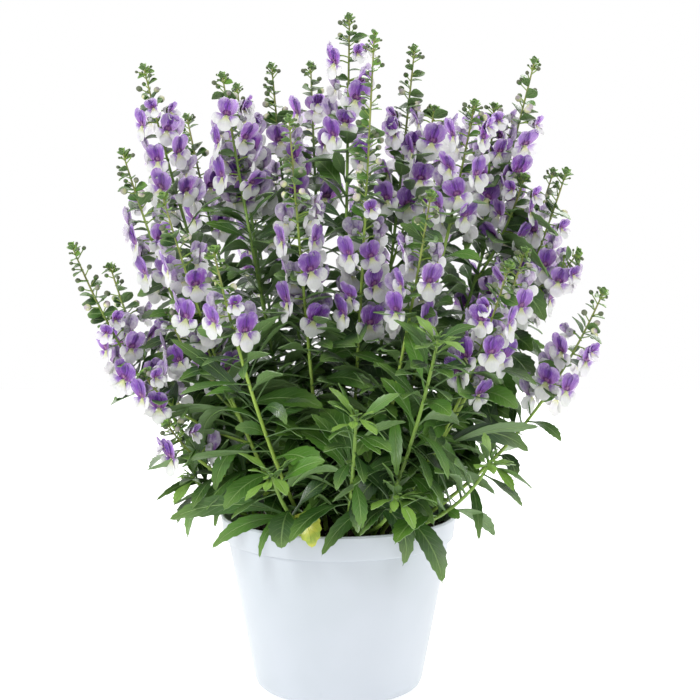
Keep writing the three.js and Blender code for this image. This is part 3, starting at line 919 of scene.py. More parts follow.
def grow_tube(bm, points, radii, sides, slot, zones, tone=0.5):
    """A closed round tube, drawn out ring by ring along points."""
    zone_layer = bm.verts.layers.float_color["zone"]
    grain_layer = bm.verts.layers.float_vector["grain"]
    heading = (points[1] - points[0]).normalized()
    turn = UP.rotation_difference(heading).to_matrix().to_4x4()
    place = Matrix.Translation(points[0]) @ turn
    made = bmesh.ops.create_circle(bm, cap_ends=True, segments=sides, radius=radii[0], matrix=place)
    ring = made["verts"]
    cap = ring[0].link_faces[0]
    cap.material_index = slot
    mark_ring(ring, zone_layer, grain_layer, zones[0], 0, tone)
    for k in range(1, len(points)):
        made = bmesh.ops.extrude_face_region(bm, geom=[cap])["geom"]
        ring = [g for g in made if isinstance(g, bmesh.types.BMVert)]
        cap = next(g for g in made if isinstance(g, bmesh.types.BMFace))
        after = (points[min(k + 1, len(points) - 1)] - points[k - 1]).normalized()
        swing = heading.rotation_difference(after).to_matrix().to_4x4()
        grow = Matrix.Scale(radii[k] / radii[k - 1], 4)
        move = Matrix.Translation(points[k]) @ swing @ grow @ Matrix.Translation(-points[k - 1])
        bmesh.ops.transform(bm, matrix=move, verts=ring)
        mark_ring(ring, zone_layer, grain_layer, zones[k], k / (len(points) - 1), tone)
        heading = after
        for v in ring:
            for face in v.link_faces:
                face.material_index = slot
                face.smooth = True


def mark_ring(ring, zone_layer, grain_layer, zone, share, tone):
    """How young a ring of a tube is, its share of the length, and each point's share of the way round."""
    for i, v in enumerate(ring):
        v[zone_layer] = (zone, 0, 0, 1)
        v[grain_layer] = (share, i / len(ring), tone)


def grow_limb(bm, limb, young, sides, swell, slim=1, sunk=0, brightest=0.8, foot=0):
    """The smooth stem along a limb, with painted light: yellow-green at the plant's front, and painted shade,
    darker, behind.
    """
    # Painted light and shade: the further forward a stem's tip, the lighter and yellower it is painted
    tone = min(brightest, max(0, 0.35 - limb.curve.tip.y / 150))
    points, radii, zones = [], [], []
    if foot:
        points.append(limb.centres[0] - UP * foot)
        radii.append(1.1 * swell * limb.half(0))
        zones.append(young[0])
    for k in range(TUBE_STEPS + 1):
        share = k / TUBE_STEPS
        bump = 0.06 * math.sin(9 * share * TUBE_STEPS)
        points.append(limb.curve.point(mix(limb.low - sunk, limb.high, share)))
        radii.append((swell + bump) * limb.half(share) * mix(1, slim, share))
        zones.append(mix(*young, share))
    grow_tube(bm, points, radii, sides, STEM, zones, tone)


def grow_leaf(bm, mesh, place, chance, young, aged=0):
    """Bends the flat blade along a leaf's arched midrib."""
    zone_layer = bm.verts.layers.float_color["zone"]
    points = grown_copy(bm, mesh)
    phase = chance.uniform(0, 6)
    wave = chance.uniform(0.2, 0.75)
    for v in points:
        u, s, h = v.co
        across = s * place.half_width
        thick = LEAF_THICK * (h - 0.5) * (1 - 0.6 * abs(s))
        edge = wave * s * s * math.sin(9 * u + phase + 1.5 * s) * min(1, max(0, 2 * u))
        v.co = place.spot(u, across, LEAF_FOLD * abs(across) + thick + edge)
        v[zone_layer].x = young
        v[zone_layer].z = aged
    set_tint(bm, points, chance.random())


def grow_bract(bm, mesh, place, chance, young, roll=0, slender=BRACT_SLENDER):
    """A small ovate bract, cupped upwards, its end bent down."""
    zone_layer = bm.verts.layers.float_color["zone"]
    points = grown_copy(bm, mesh)
    length = place.length
    wide = place.across * math.cos(roll) + place.lift * math.sin(roll)
    lift = place.lift * math.cos(roll) - place.across * math.sin(roll)
    for v in points:
        u, s, h = v.co
        across = slender * length * s
        high = 0.5 * (h - 0.5) + 0.1 * length * s * s - 0.16 * length * u * u
        v.co = place.anchor + place.stalk * (length * u - 0.3) + wide * across + lift * high
        v[zone_layer].x = young
    set_tint(bm, points, chance.random())


def grow_bud(bm, mesh, place, chance, ripe, reach=BUD_REACH):
    """A round bud on a thin pedicel."""
    zone_layer = bm.verts.layers.float_color["zone"]
    foot = place.anchor + place.stalk * reach
    points = grown_copy(bm, mesh)
    turn = UP.rotation_difference(place.stalk).to_matrix().to_4x4()
    move = Matrix.Translation(foot) @ turn @ Matrix.Scale(place.radius, 4)
    bmesh.ops.transform(bm, matrix=move, verts=points)
    for v in points:
        v[zone_layer] = (ripe, 0, 0, 1)
    set_tint(bm, points, chance.random())
    path = [place.anchor - place.stalk, foot + place.stalk * place.radius * 0.4]
    grow_tube(bm, path, BUD_PEDICEL, PEDICEL_SIDES, STEM, [0.5] * 2)


def grow_floret(bm, meshes, place, chance):
    """A floret, turned to its frame, on its pedicel."""
    points = grown_copy(bm, chance.choice(meshes))
    lean = Matrix.Rotation(chance.uniform(-FLORET_LEAN, FLORET_LEAN), 4, "Z")
    bmesh.ops.transform(bm, matrix=place.matrix() @ lean, verts=points)
    set_tint(bm, points, chance.random())
    low = (place.back - place.anchor).normalized()
    middle = place.anchor.lerp(place.back, 0.6) + UP * 0.4
    path = [place.anchor - low, middle, place.back + place.face * 0.6]
    grow_tube(bm, path, FLORET_PEDICEL, PEDICEL_SIDES, STEM, [0.35] * 3)


class Templates:
    """The small meshes, each made once."""

    def __init__(self):
        self.florets = [floret_mesh(variant) for variant in range(FLORET_VARIANTS)]
        self.opening = floret_mesh(FLORET_VARIANTS, opening=True)
        self.leaf = blade_mesh("leaf_template", LEAF_COLUMNS, 2, PETIOLE_FOOT, leaf_width, LEAF_TEETH)
        self.bract = blade_mesh("bract_template", 5, 2, 0, bract_width, 0)
        self.bud = bud_mesh()


def raceme_florets(spike, node, draw, chance):
    """The places of the frame's florets, and of the ones between them that it leaves out."""
    places = []
    count = max(2, round_half_up(spike.open_length / FLORET_SPACING))
    for i in range(count):
        share = mix(FLORET_LOWEST, spike.open_share, (i + 0.5) / count)
        size = mix(*FLORET_SIZE, i / count) * draw(0.95, 1.05)
        turn = draw(-0.3, 0.3)
        nod = draw(0.02, 0.3)
        place = node.place_of(FloretPlace, spike.rachis, share, side_of(i), turn, size, nod)
        if place:
            places.append(place)
    spacing = THIN_RACEMES.get(spike.index + 1, FLORET_FULL_SPACING)
    more = round_half_up(spike.open_length / spacing) - len(places)
    for i in range(more):
        share = mix(FLORET_LOWEST, spike.open_share, (i + 0.5) / more)
        place = freest_floret(spike, share, places, chance)
        if place:
            places.append(place)
    return places


def freest_floret(spike, share, places, chance):
    """Of a few places near this height, the one with the most room, or None where none has enough."""
    best, widest = None, FLORET_ROOM
    taken = [list(place.spots()) for place in places]
    for _ in range(FLORET_TRIES):
        size = mix(*FLORET_FILL_SIZE, share) * chance.uniform(0.84, 1.06)
        turn = chance.uniform(0, FULL_TURN)
        at = share + chance.uniform(-0.03, 0.03)
        place = FloretPlace(spike.rachis, at, 0, turn, size, chance.uniform(0, 0.5))
        room = min((nearest(place.spots(), spots) for spots in taken), default=math.inf)
        if room > widest:
            best, widest = place, room
    return best


def nearest(spots, others):
    """How near any of the first spots comes to any of the others."""
    return min((a - b).length for a in spots for b in others)


def raceme_piece(spike, sprays, templates):
    """A raceme, with the side sprays that its stem carries."""
    bm = new_bmesh()
    node = FrameNode(spike.raceme_node)
    chance = random.Random(RACEME_FILL_SEED + spike.index)
    grow_raceme(bm, spike, node, templates, chance)
    for spray in sprays:
        grow_limb(bm, spray.stem, **SPRAY_SKIN)
        bare = spray.curve.length() - spray.raceme
        draw = seeded(SPRAY_LEAF_SEED + spray.index)
        grow_leaves(bm, node, spray.stem, bare, FORK_LOWEST_LEAF, draw, templates, chance)
        grow_raceme(bm, spray, node, templates, chance)
    plant_piece(bm, f"{spike.raceme_node}_blooms", spike.raceme_node)


def grow_raceme(bm, spike, node, templates, chance):
    """The rachis, with open florets below, two half-open ones above them, then buds, bracts and the tuft."""
    draw = seeded(RACEME_SEED + spike.index)
    grow_limb(bm, spike.rachis, **RACHIS_SKIN)
    for place in raceme_florets(spike, node, draw, chance):
        grow_floret(bm, templates.florets, place, chance)
    for i in range(OPENING_COUNT):
        at = mix(spike.open_share, 1, 0.12 * i)
        place = FloretPlace(spike.rachis, at, 0, chance.uniform(0, FULL_TURN), 1, 0.1)
        grow_floret(bm, [templates.opening], place, chance)
    grow_floret_bracts(bm, spike, templates, chance)
    grow_buds(bm, spike, node, draw, templates, chance)
    grow_tuft(bm, spike, templates, chance)


def grow_floret_bracts(bm, spike, templates, chance):
    """Leafy bracts among the florets, larger lower down."""
    count = max(2, round_half_up(spike.open_length / FLORET_SPACING))
    for i in range(2 * count):
        up = (i + 0.2) / (2 * count)
        at = mix(0, spike.open_share, up)
        rise = chance.uniform(0, 0.7)
        turn = QUARTER / 2 + chance.uniform(-0.3, 0.3)
        side = i + chance.randint(0, 1)
        length = mix(*FLORET_BRACT_LENGTH, up ** 0.6) * chance.uniform(0.8, 1.15)
        place = BractPlace(spike.rachis, at, side, turn, rise, length)
        grow_bract(bm, templates.bract, place, chance, 0.2, chance.uniform(-0.7, 0.7))


def grow_buds(bm, spike, node, draw, templates, chance):
    """The frame's buds and bracts, and above each of its buds two more with bracts of their own."""
    count = max(2, round_half_up(spike.budded / BUD_SPACING))
    for i in range(count):
        share = (i + 0.5) / count
        at = mix(spike.open_share, BUD_TOP, share)
        details = (BUD_RISE, mix(*BUD_RADIUS, share))
        bud = node.place_of(BudPlace, spike.rachis, at, side_of(i), draw(-0.3, 0.3), *details)
        if bud:
            grow_bud(bm, templates.bud, bud, chance, 1 - share)
        if i % 2 == 0:
            details = (BRACT_RISE, mix(*BRACT_LENGTH, share))
            bract = node.place_of(BractPlace, spike.rachis, at, side_of(i) + 2, draw(-0.3, 0.3), *details)
            if bract:
                grow_bract(bm, templates.bract, bract, chance, 0.35 + 0.4 * share)
        for more in BUD_FILL_SHARES:
            grow_bud_pair(bm, spike, (i + 0.5 + more) / count, side_of(i) + 1, templates, chance)


def grow_bud_pair(bm, spike, share, side, templates, chance):
    """A bud, and the bract or two below it, larger lower down."""
    share = min(share, 1)
    at = mix(spike.open_share, BUD_TOP, share)
    turn = chance.uniform(-0.4, 0.4)
    radius = mix(*BUD_FILL_RADIUS, share ** 0.7) * chance.uniform(0.85, 1.1)
    if chance.random() < 0.5:
        side += 2
    bud = BudPlace(spike.rachis, at, side, turn, chance.uniform(0.3, 0.8), radius)
    grow_bud(bm, templates.bud, bud, chance, 1 - share, mix(6, 4, share))
    for opposite in (0, 2) if share < 0.5 else (0,):
        rise = chance.uniform(-0.1, 0.7)
        turn = chance.uniform(-0.5, 0.5)
        length = mix(*BUD_BRACT_LENGTH, share) * chance.uniform(0.8, 1.1)
        below = BractPlace(spike.rachis, at - 0.008, side + opposite, turn, rise, length)
        young = 0.1 + 0.45 * share
        grow_bract(bm, templates.bract, below, chance, young, chance.uniform(-0.8, 0.8))


def grow_tuft(bm, spike, templates, chance):
    """The young bracts that close over the tip, and the smallest buds just below them."""
    for i in range(TUFT_BRACTS):
        length = mix(*TUFT_LENGTH, i / (TUFT_BRACTS - 1))
        place = BractPlace(spike.rachis, 0.97 + 0.006 * i, i, 0.4 * i, 0.8 + 0.12 * i, length)
        grow_bract(bm, templates.bract, place, chance, 0.85, slender=0.5)
    for i in range(TUFT_BUDS):
        place = BudPlace(spike.rachis, 0.945, i, 0.6, 0.6, TUFT_BUD_RADIUS)
        grow_bud(bm, templates.bud, place, chance, 0.05, 2.6)


def leaf_values(draw, share):
    """The length, rise, bend, roll and width for its length of one of the frame's leaves."""
    length = mix(LEAF_LONGEST, LEAF_SHORTEST, share) * draw(0.85, 1.1)
    rise = mix(*LEAF_RISE, share) + draw(-0.15, 0.15)
    bend = mix(*LEAF_BEND, share) + draw(-0.3, 0.3)
    roll = draw(-0.35, 0.35)
    return (length, rise, bend, roll, LEAF_SLENDER)


def fill_values(chance, share):
    """The same of a leaf that fills in: these spread flatter, and differ more in width."""
    length = mix(LEAF_LONGEST, LEAF_SHORTEST, share) * chance.uniform(0.65, 1.15)
    rise = mix(*FILL_RISE, share) + chance.uniform(-0.2, 0.2)
    bend = mix(*FILL_BEND, share) + chance.uniform(-0.3, 0.3)
    return (length, rise, bend, chance.uniform(-0.9, 0.9), chance.uniform(*FILL_SLENDER))


def grow_leaves(bm, node, limb, length, low, draw, templates, chance, spacing=LEAF_FILL_SPACING):
    """The frame's leaves up a limb, and the ones that fill in between them."""
    pairs = max(1, round_half_up(length / LEAF_PAIR_SPACING))
    for i in range(2 * pairs):
        share = ((i + 0.7) / (2 * pairs)) ** LEAF_CROWDING
        values = leaf_values(draw, share)
        turn = draw(-0.25, 0.25)
        place = node.place_of(LeafPlace, limb, mix(low, LEAF_TOP, share), side_of(i), turn, values)
        if place:
            grow_leaf(bm, templates.leaf, place, chance, 0.12 + 0.25 * share)
    more = max(2, round_half_up(length / spacing))
    for i in range(more):
        share = (i + 0.3) / more
        place = clear_place(limb, mix(low, FILL_TOP, share), side_of(i) + 1, share, chance)
        if place:
            grow_leaf(bm, templates.leaf, place, chance, 0.1 + 0.3 * share * chance.random())


def clear_place(limb, at, side, share, chance):
    """A place for one more leaf that stays clear of the pot, its soil and the bare spaces, or None."""
    for _ in range(PLACE_TRIES):
        place = LeafPlace(limb, at, side, chance.uniform(-0.6, 0.6), fill_values(chance, share ** 1.8))
        if clear_of_pot(place) and clear_of_bare(place):
            return place
    return None


def spots_along(place):
    """Points down the middle and both sides of a leaf."""
    for step in range(1, 13):
        for across in (-0.8, 0, 0.8):
            yield place.spot(step / 12, across * place.half_width, 0)


def clear_of_pot(place):
    """Whether a leaf keeps off the pot's wall and rim and off the soil."""
    inner_rim = RIM_RADIUS - RIM_WIDTH
    for spot in spots_along(place):
        far = math.hypot(spot.x, spot.y)
        if spot.z < POT_HEIGHT + POT_CLEARANCE and inner_rim < far < RIM_RADIUS + POT_CLEARANCE:
            return False
        if spot.z < SOIL_TOP + POT_CLEARANCE and far <= inner_rim:
            return False
    return True


def clear_of_bare(place):
    """Whether a leaf keeps out of the bare spaces, off what has to show, and not too low past the rim."""
    low, high = HANG_FRONT_SIDES
    for spot in spots_along(place):
        front = low < spot.x < high and spot.y < 0
        hang = HANG_FRONT if front else HANG_ELSEWHERE
        if spot.z < hang and math.hypot(spot.x, spot.y) > RIM_RADIUS:
            return False
        if any(all(a < c < b for (a, b), c in zip(space, spot)) for space in BARE):
            return False
        if spot.y < SHOWN.get(shown_cell(spot), -math.inf):
            return False
    return True


def shown_cell(point):
    """The cell that a point lies in, across and up."""
    return round(point.x / SHOWN_CELL), round(point.z / SHOWN_CELL)


def shown_cells():
    """How far forward leaves may fill in, for each cell that holds a stem or leaf which has to show."""
    points = []
    for number, low, high in SHOWN_STEMS:
        points += [spike_curve(number).point(mix(low, high, step / 60)) for step in range(61)]
    for foot, tip, width, _, _ in REACHED_LEAVES:
        for step in range(21):
            middle = Vector(foot).lerp(Vector(tip), step / 20)
            points += [middle + Vector((aside * width / 3, 0, 0)) for aside in (-1, 0, 1)]
    cells = {}
    for point in points:
        cell = shown_cell(point)
        cells[cell] = max(cells.get(cell, -math.inf), point.y - 1)
    return cells


def reached_leaf(limbs, foot, tip, width, chance):
    """The node and place of a leaf that passes one point and ends at another, clear of the pot."""
    best, found = math.inf, None
    for name, limb in limbs:
        if min((limb.centre(share) - foot).length for share in (0.1, 0.3, 0.5)) > REACH_LONGEST:
            continue
        for _ in range(REACH_TRIES):
            guess = [chance.uniform(*ends) for ends in REACH_ENDS]
            miss, place = reached_place(limb, foot, tip, width, guess)
            if miss < best and clear_of_pot(place):
                best, found = miss, (name, limb, guess, place)
    name, limb, guess, place = found
    for step in range(REACH_STEPS):
        reach = 0.2 * (1 - step / REACH_STEPS)
        near = [value + chance.gauss(0, reach * (b - a)) for value, (a, b) in zip(guess, REACH_ENDS)]
        near = [min(max(value, a), b) for value, (a, b) in zip(near, REACH_ENDS)]
        miss, other = reached_place(limb, foot, tip, width, near)
        if miss < best and clear_of_pot(other):
            best, guess, place = miss, near, other
    return name, place


def reached_place(limb, foot, tip, width, guess):
    """A leaf from a limb towards a tip, and by how much it misses its two points."""
    share, aside, stretch, rise, bend, roll = guess
    away = tip - limb.centre(share)
    turn = limb.turn_to(math.atan2(away.y, away.x) + aside)
    length = away.length * stretch
    place = LeafPlace(limb, share, 0, turn, (length, rise, bend, roll, width / length))
    passing = min((place.spot(step / 8, 0, 0) - foot).length for step in range(6))
    too_long = max(0, length - REACH_LONGEST)
    wide = place.spot(0.7, 1, 0) - place.spot(0.7, -1, 0)
    along = place.spot(0.8, 0, 0) - place.spot(0.6, 0, 0)
    edge_on = 1 - abs(wide.cross(along.normalized()).y) / 2
    miss = (place.spot(1, 0, 0) - tip).length + MISSED_FOOT * passing + LENGTH_USED * length
    return miss + too_long + TURNED_EDGE_ON * edge_on, place


def grow_skirt(bm, limb, templates, chance):
    """Large leaves low on a stem, which arch outwards over the rim."""
    outwards = math.atan2(limb.along.y, limb.along.x)
    for _ in range(SKIRT_LEAVES):
        for _ in range(PLACE_TRIES):
            place = skirt_place(limb, outwards, chance)
            if clear_of_pot(place) and clear_of_bare(place):
                grow_leaf(bm, templates.leaf, place, chance, 0.1 + 0.2 * chance.random())
                break


def skirt_place(limb, outwards, chance):
    """A place for a large low leaf that points roughly outwards."""
    aside, length, slender, rise, bend, roll, share = [chance.uniform(*ends) for ends in SKIRT_ENDS]
    return LeafPlace(limb, share, 0, limb.turn_to(outwards + aside), (length, rise, bend, roll, slender))


def grow_rosette(bm, node, limb, draw, templates, chance):
    """The young leaves at the tip of a shoot: the frame's, and smaller ones that stand up inside them."""
    for i in range(ROSETTE_LEAVES):
        values = (draw(*ROSETTE_LENGTHS), 0.5, 0.5, 0, ROSETTE_SLENDER)
        place = node.place_of(LeafPlace, limb, 0.93 + 0.02 * i, side_of(i), 0, values)
        if place:
            grow_leaf(bm, templates.leaf, place, chance, 0.75)
    for i in range(HEART_LEAVES):
        length = mix(*HEART_LENGTHS, i / (HEART_LEAVES - 1))
        values = (length, 0.5 + 0.1 * i, 0.5, 0, HEART_SLENDER)
        place = LeafPlace(limb, 0.96 + 0.005 * i, i, 0.4 * i, values)
        grow_leaf(bm, templates.leaf, place, chance, 0.95)


def leafy_pieces(spikes, shoots, templates):
    """One leafy piece for each stem node: a stem with its forks, or a shoot."""
    by_node = {}
    for spike in spikes:
        by_node.setdefault(spike.stem_node, []).append(spike)
    reached = reached_leaves(spikes, shoots)
    for name, members in by_node.items():
        stem_piece(name, members, reached.get(name, []), templates)
    for shoot in shoots:
        shoot_piece(shoot, reached.get(shoot.stem_node, []), templates)


def stem_piece(name, members, reached, templates):
    """A stem and the forks that grow from it, with their leaves."""
    bm = new_bmesh()
    node = FrameNode(name)
    chance = random.Random(STEM_FILL_SEED + members[0].index)
    for spike in members:
        grow_limb(bm, spike.stem, **STEM_SKIN, foot=0 if spike.parent else FOOT_SUNK)
        length = spike.curve.length() - spike.raceme
        low = FORK_LOWEST_LEAF if spike.parent else LOWEST_LEAF
        draw = seeded(LEAF_SEED + spike.index)
        grow_leaves(bm, node, spike.stem, length, low, draw, templates, chance)
        if not spike.parent:
            grow_skirt(bm, spike.stem, templates, chance)
    grow_reached(bm, reached, templates, chance)
    plant_piece(bm, f"{name}_leaves", name)


def shoot_piece(shoot, reached, templates):
    """A shoot with its leaves, and the rosette at its tip."""
    bm = new_bmesh()
    name = shoot.stem_node
    node = FrameNode(name)
    limb = shoot.stem
    chance = random.Random(SHOOT_FILL_SEED + shoot.index)
    grow_limb(bm, limb, **SHOOT_SKIN, foot=FOOT_SUNK)
    grow_rosette(bm, node, limb, seeded(ROSETTE_SEED + shoot.index), templates, chance)
    length = shoot.curve.length()
    draw = seeded(SHOOT_LEAF_SEED + shoot.index)
    grow_leaves(bm, node, limb, length, SHOOT_LOWEST_LEAF, draw, templates, chance, SHOOT_FILL_SPACING)
    grow_skirt(bm, limb, templates, chance)
    grow_reached(bm, reached, templates, chance)
    plant_piece(bm, f"{name}_leaves", name)


def reached_leaves(spikes, shoots):
    """For each node, the places of the reached leaves that grow from it, and their looks."""
    chance = random.Random(REACHED_SEED)
    limbs = [(limb.stem_node, limb.stem) for limb in [*spikes, *shoots] if not limb.parent]
    found = {}
    for foot, tip, width, aged, young in REACHED_LEAVES:
        name, place = reached_leaf(limbs, Vector(foot), Vector(tip), width, chance)
        found.setdefault(name, []).append((place, young, aged))
    return found


def grow_reached(bm, leaves, templates, chance):
    """The leaves that reach for places of their own."""
    for place, young, aged in leaves:
        grow_leaf(bm, templates.leaf, place, chance, young, aged)


def plant_piece(bm, name, node):
    """Gives a grown piece the plant's finishes and puts it in its node's place."""
    piece = plain_piece(bm, name)
    for finish in PLANT_FINISHES:
        piece.data.materials.append(finish)
    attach(piece, "root")
    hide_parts(node)


def plain_piece(bm, name):
    """A scene object from a bmesh in millimetres."""
    bmesh.ops.transform(bm, matrix=Matrix.Scale(MM, 4), verts=bm.verts[:])
    mesh = bpy.data.meshes.new(name)
    bm.to_mesh(mesh)
    bm.free()
    piece = bpy.data.objects.new(name, mesh)
    bpy.context.scene.collection.objects.link(piece)
    return piece


# Pot and soil

def pot_profile():
    """Half of the pot's outline: its underside, foot, wall, lip and rim, and back down its cavity."""
    lip_base = POT_HEIGHT - LIP_DROP
    wall_top = RIM_RADIUS - LIP_STEP
    lip_foot = RIM_RADIUS - LIP_TAPER
    underside = [(0, UNDERSIDE_HOLLOW), (UNDERSIDE_RADIUS, UNDERSIDE_HOLLOW)]
    foot = [
        (FOOT_RADIUS - FOOT_ROUND + 1, 0), (FOOT_RADIUS - 4.5, 0.9),
        (FOOT_RADIUS - 1.6, 3.4), (FOOT_RADIUS - 0.1, 7),
    ]
    step = [
        (wall_top - 0.1, lip_base - 0.6), (wall_top + 0.5, lip_base),
        (lip_foot - 0.6, lip_base + 0.1), (lip_foot, lip_base + 0.8),
    ]
    rim = [
        (RIM_RADIUS - 0.3, POT_HEIGHT - 2.6), (RIM_RADIUS, POT_HEIGHT - 1.4),
        (RIM_RADIUS - 0.5, POT_HEIGHT - 0.2), (RIM_RADIUS - 1.1, POT_HEIGHT),
        (RIM_RADIUS - WALL, POT_HEIGHT - 0.5),
    ]
    return [*underside, *foot, *step, *rim, *reversed(cavity_profile(0))]


def cavity_profile(gap):
    """Half of the outline of what the pot holds, from the middle of its floor up, inside a gap."""
    ledge = POT_HEIGHT - LIP_DROP - WALL
    return [
        (0, FLOOR + gap),
        (FOOT_RADIUS - FOOT_ROUND - gap, FLOOR + gap),
        (FOOT_RADIUS - WALL - gap, FOOT_ROUND + gap),
        (RIM_RADIUS - LIP_STEP - WALL - gap, ledge + gap),
        (RIM_RADIUS - LIP_TAPER - WALL - gap, ledge + LIP_STEP + gap),
    ]


def spun(profile, steps):
    """A closed round body from a profile that starts and ends on the axis."""
    bm = bmesh.new()
    points = [bm.verts.new((radius, 0, height)) for radius, height in profile]
    edges = [bm.edges.new(pair) for pair in zip(points, points[1:])]
    bmesh.ops.spin(
        bm, geom=points + edges, cent=(0, 0, 0), axis=(0, 0, 1), dvec=(0, 0, 0),
        angle=FULL_TURN, steps=steps, use_merge=True, use_duplicate=False,
    )
    bmesh.ops.remove_doubles(bm, verts=bm.verts[:], dist=1e-4)
    bmesh.ops.recalc_face_normals(bm, faces=bm.faces[:])
    return bm


def pot_piece():
    """The moulded pot, with its deep lip, rounded foot and drainage holes."""
    pot = plain_piece(spun(pot_profile(), POT_STEPS), "grower_pot")
    drill = bmesh.new()
    for i in range(DRAIN_COUNT):
        angle = FULL_TURN * i / DRAIN_COUNT
        spot = (DRAIN_CIRCLE * math.cos(angle), DRAIN_CIRCLE * math.sin(angle), FLOOR / 2)
        bmesh.ops.create_cone(
            drill, cap_ends=True, segments=DRAIN_SIDES, radius1=DRAIN_RADIUS, radius2=DRAIN_RADIUS,
            depth=4 * FLOOR, matrix=Matrix.Translation(spot),
        )
    drill = plain_piece(drill, "drain_drill")
    cut = pot.modifiers.new("drain_holes", "BOOLEAN")
    cut.object = drill
    cut.operation = "DIFFERENCE"
    cut.solver = "EXACT"
    apply_modifiers(pot)
    bpy.data.objects.remove(drill)
    for polygon in pot.data.polygons:
        polygon.use_smooth = True
    pot.data.set_sharp_from_angle(angle=POT_SHARP_ANGLE)
    pot.data.materials.append(pot_plastic())
    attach(pot, "root")
    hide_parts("pot")


def apply_modifiers(piece):
    """Makes what a piece's modifiers shape its own mesh."""
    shaped = piece.evaluated_get(bpy.context.evaluated_depsgraph_get())
    mesh = bpy.data.meshes.new_from_object(shaped)
    piece.modifiers.clear()
    piece.data = mesh


def soil_piece():
    """Potting mix: a crumbly crown with bits of bark on it."""
    side = cavity_profile(SOIL_GAP)
    rim = side[-1][0]
    crown = [(rim, SOIL_TOP - 2.4), (rim - 2, SOIL_TOP - 1.6)]
    crown += [(radius, SOIL_TOP) for radius in range(CROWN_RADIUS, 0, -CROWN_RING)]
    bm = spun([*side, *crown, (0, SOIL_TOP)], SOIL_STEPS)
    for v in bm.verts:
        if v.co.z > SOIL_TOP - 3:
            rough = noise.noise(v.co * 0.22) + 0.6 * noise.noise(v.co * 0.6)
            v.co.z += CROWN_ROUGH * rough - 0.5
    chance = random.Random(CRUMB_SEED)
    noise.seed_set(CRUMB_SEED)
    for _ in range(CRUMB_COUNT):
        add_crumb(bm, chance)
    for face in bm.faces:
        face.smooth = True
    soil = plain_piece(bm, "potting_soil")
    soil.data.materials.append(soil_mix())
    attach(soil, "root")
    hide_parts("soil")


def add_crumb(bm, chance):
    """One bit of bark or a crumb of peat, half sunk in the top, and rough from noise with a set seed."""
    radius = CRUMB_SPREAD * math.sqrt(chance.random())
    angle = chance.uniform(0, FULL_TURN)
    size = chance.uniform(*CRUMB_SIZES)
    spot = (radius * math.cos(angle), radius * math.sin(angle), SOIL_TOP + 0.25 * size)
    turn = Matrix.Rotation(chance.uniform(0, 6), 4, "Z")
    tilt = Matrix.Rotation(chance.uniform(-0.6, 0.6), 4, "X")
    shape = Matrix.Diagonal((size * chance.uniform(0.8, 1.8), size, size * chance.uniform(0.4, 0.8), 1))
    place = Matrix.Translation(spot) @ (turn @ tilt) @ shape
    for v in bmesh.ops.create_icosphere(bm, subdivisions=1, radius=1, matrix=place)["verts"]:
        v.co += noise.noise_vector(v.co * 1.3) * 0.25 * size


# Finishes

class Nodes:
    """Builds one material's node tree."""

    def __init__(self, name):
        self.material = bpy.data.materials.new(name)
        self.material.use_nodes = True
        self.tree = self.material.node_tree
        self.shader = self.tree.nodes["Principled BSDF"]

    def link(self, source, target):
        self.tree.links.new(source, target)

    def attribute(self, name):
        node = self.tree.nodes.new("ShaderNodeAttribute")
        node.attribute_name = name
        return node.outputs["Vector"]

    def plant_layers(self):
        """The three parts of a plant piece's zone, and the three parts of its grain."""
        return self.split(self.attribute("zone")), self.split(self.attribute("grain"))

    def split(self, vector):
        node = self.tree.nodes.new("ShaderNodeSeparateXYZ")
        self.link(vector, node.inputs[0])
        return node.outputs

    def position(self):
        return self.tree.nodes.new("ShaderNodeTexCoord").outputs["Object"]

    def noise(self, scale, detail=3, vector=None, roughness=0.6):
        node = self.tree.nodes.new("ShaderNodeTexNoise")
        node.inputs["Scale"].default_value = scale
        node.inputs["Detail"].default_value = detail
        node.inputs["Roughness"].default_value = roughness
        self.link(vector or self.position(), node.inputs["Vector"])
        return node.outputs["Fac"]

    def stretched(self, vector, scale):
        node = self.tree.nodes.new("ShaderNodeMapping")
        node.inputs["Scale"].default_value = scale
        self.link(vector, node.inputs["Vector"])
        return node.outputs[0]

    def math(self, operation, first, second=0.0):
        node = self.tree.nodes.new("ShaderNodeMath")
        node.operation = operation
        for socket, value in zip(node.inputs, (first, second)):
            self.set(socket, value)
        return node.outputs[0]

    def plus(self, first, second):
        return self.math("ADD", first, second)

    def minus(self, first, second):
        return self.math("SUBTRACT", first, second)

    def times(self, first, second):
        return self.math("MULTIPLY", first, second)

    def set(self, socket, value):
        """Links another node's result to a socket, or sets a plain value on it."""
        if isinstance(value, bpy.types.NodeSocket):
            self.link(value, socket)
        else:
            socket.default_value = value

    def ramp(self, value, low, high, start=0.0, end=1.0):
        """A smooth change from start to end, as a value goes from low to high."""
        node = self.tree.nodes.new("ShaderNodeMapRange")
        node.interpolation_type = "SMOOTHSTEP"
        for name, number in (("From Min", low), ("From Max", high), ("To Min", start), ("To Max", end)):
            node.inputs[name].default_value = number
        self.set(node.inputs["Value"], value)
        return node.outputs["Result"]

    def mix(self, share, first, second):
        """The first colour, with a share of the second mixed in."""
        node = self.tree.nodes.new("ShaderNodeMix")
        node.data_type = "RGBA"
        self.set(node.inputs[0], share)
        self.set(node.inputs[6], first)
        self.set(node.inputs[7], second)
        return node.outputs[2]

    def bump(self, height, strength, distance):
        node = self.tree.nodes.new("ShaderNodeBump")
        node.inputs["Strength"].default_value = strength
        node.inputs["Distance"].default_value = distance
        self.link(height, node.inputs["Height"])
        self.link(node.outputs[0], self.shader.inputs["Normal"])

    def finish(self, colour, roughness, **uniform):
        """The material, with its colour, its roughness, and plain numbers on the shader's other sockets."""
        self.link(colour, self.shader.inputs["Base Color"])
        self.set(self.shader.inputs["Roughness"], roughness)
        for name, value in uniform.items():
            self.shader.inputs[name.replace("_", " ")].default_value = value
        return self.material


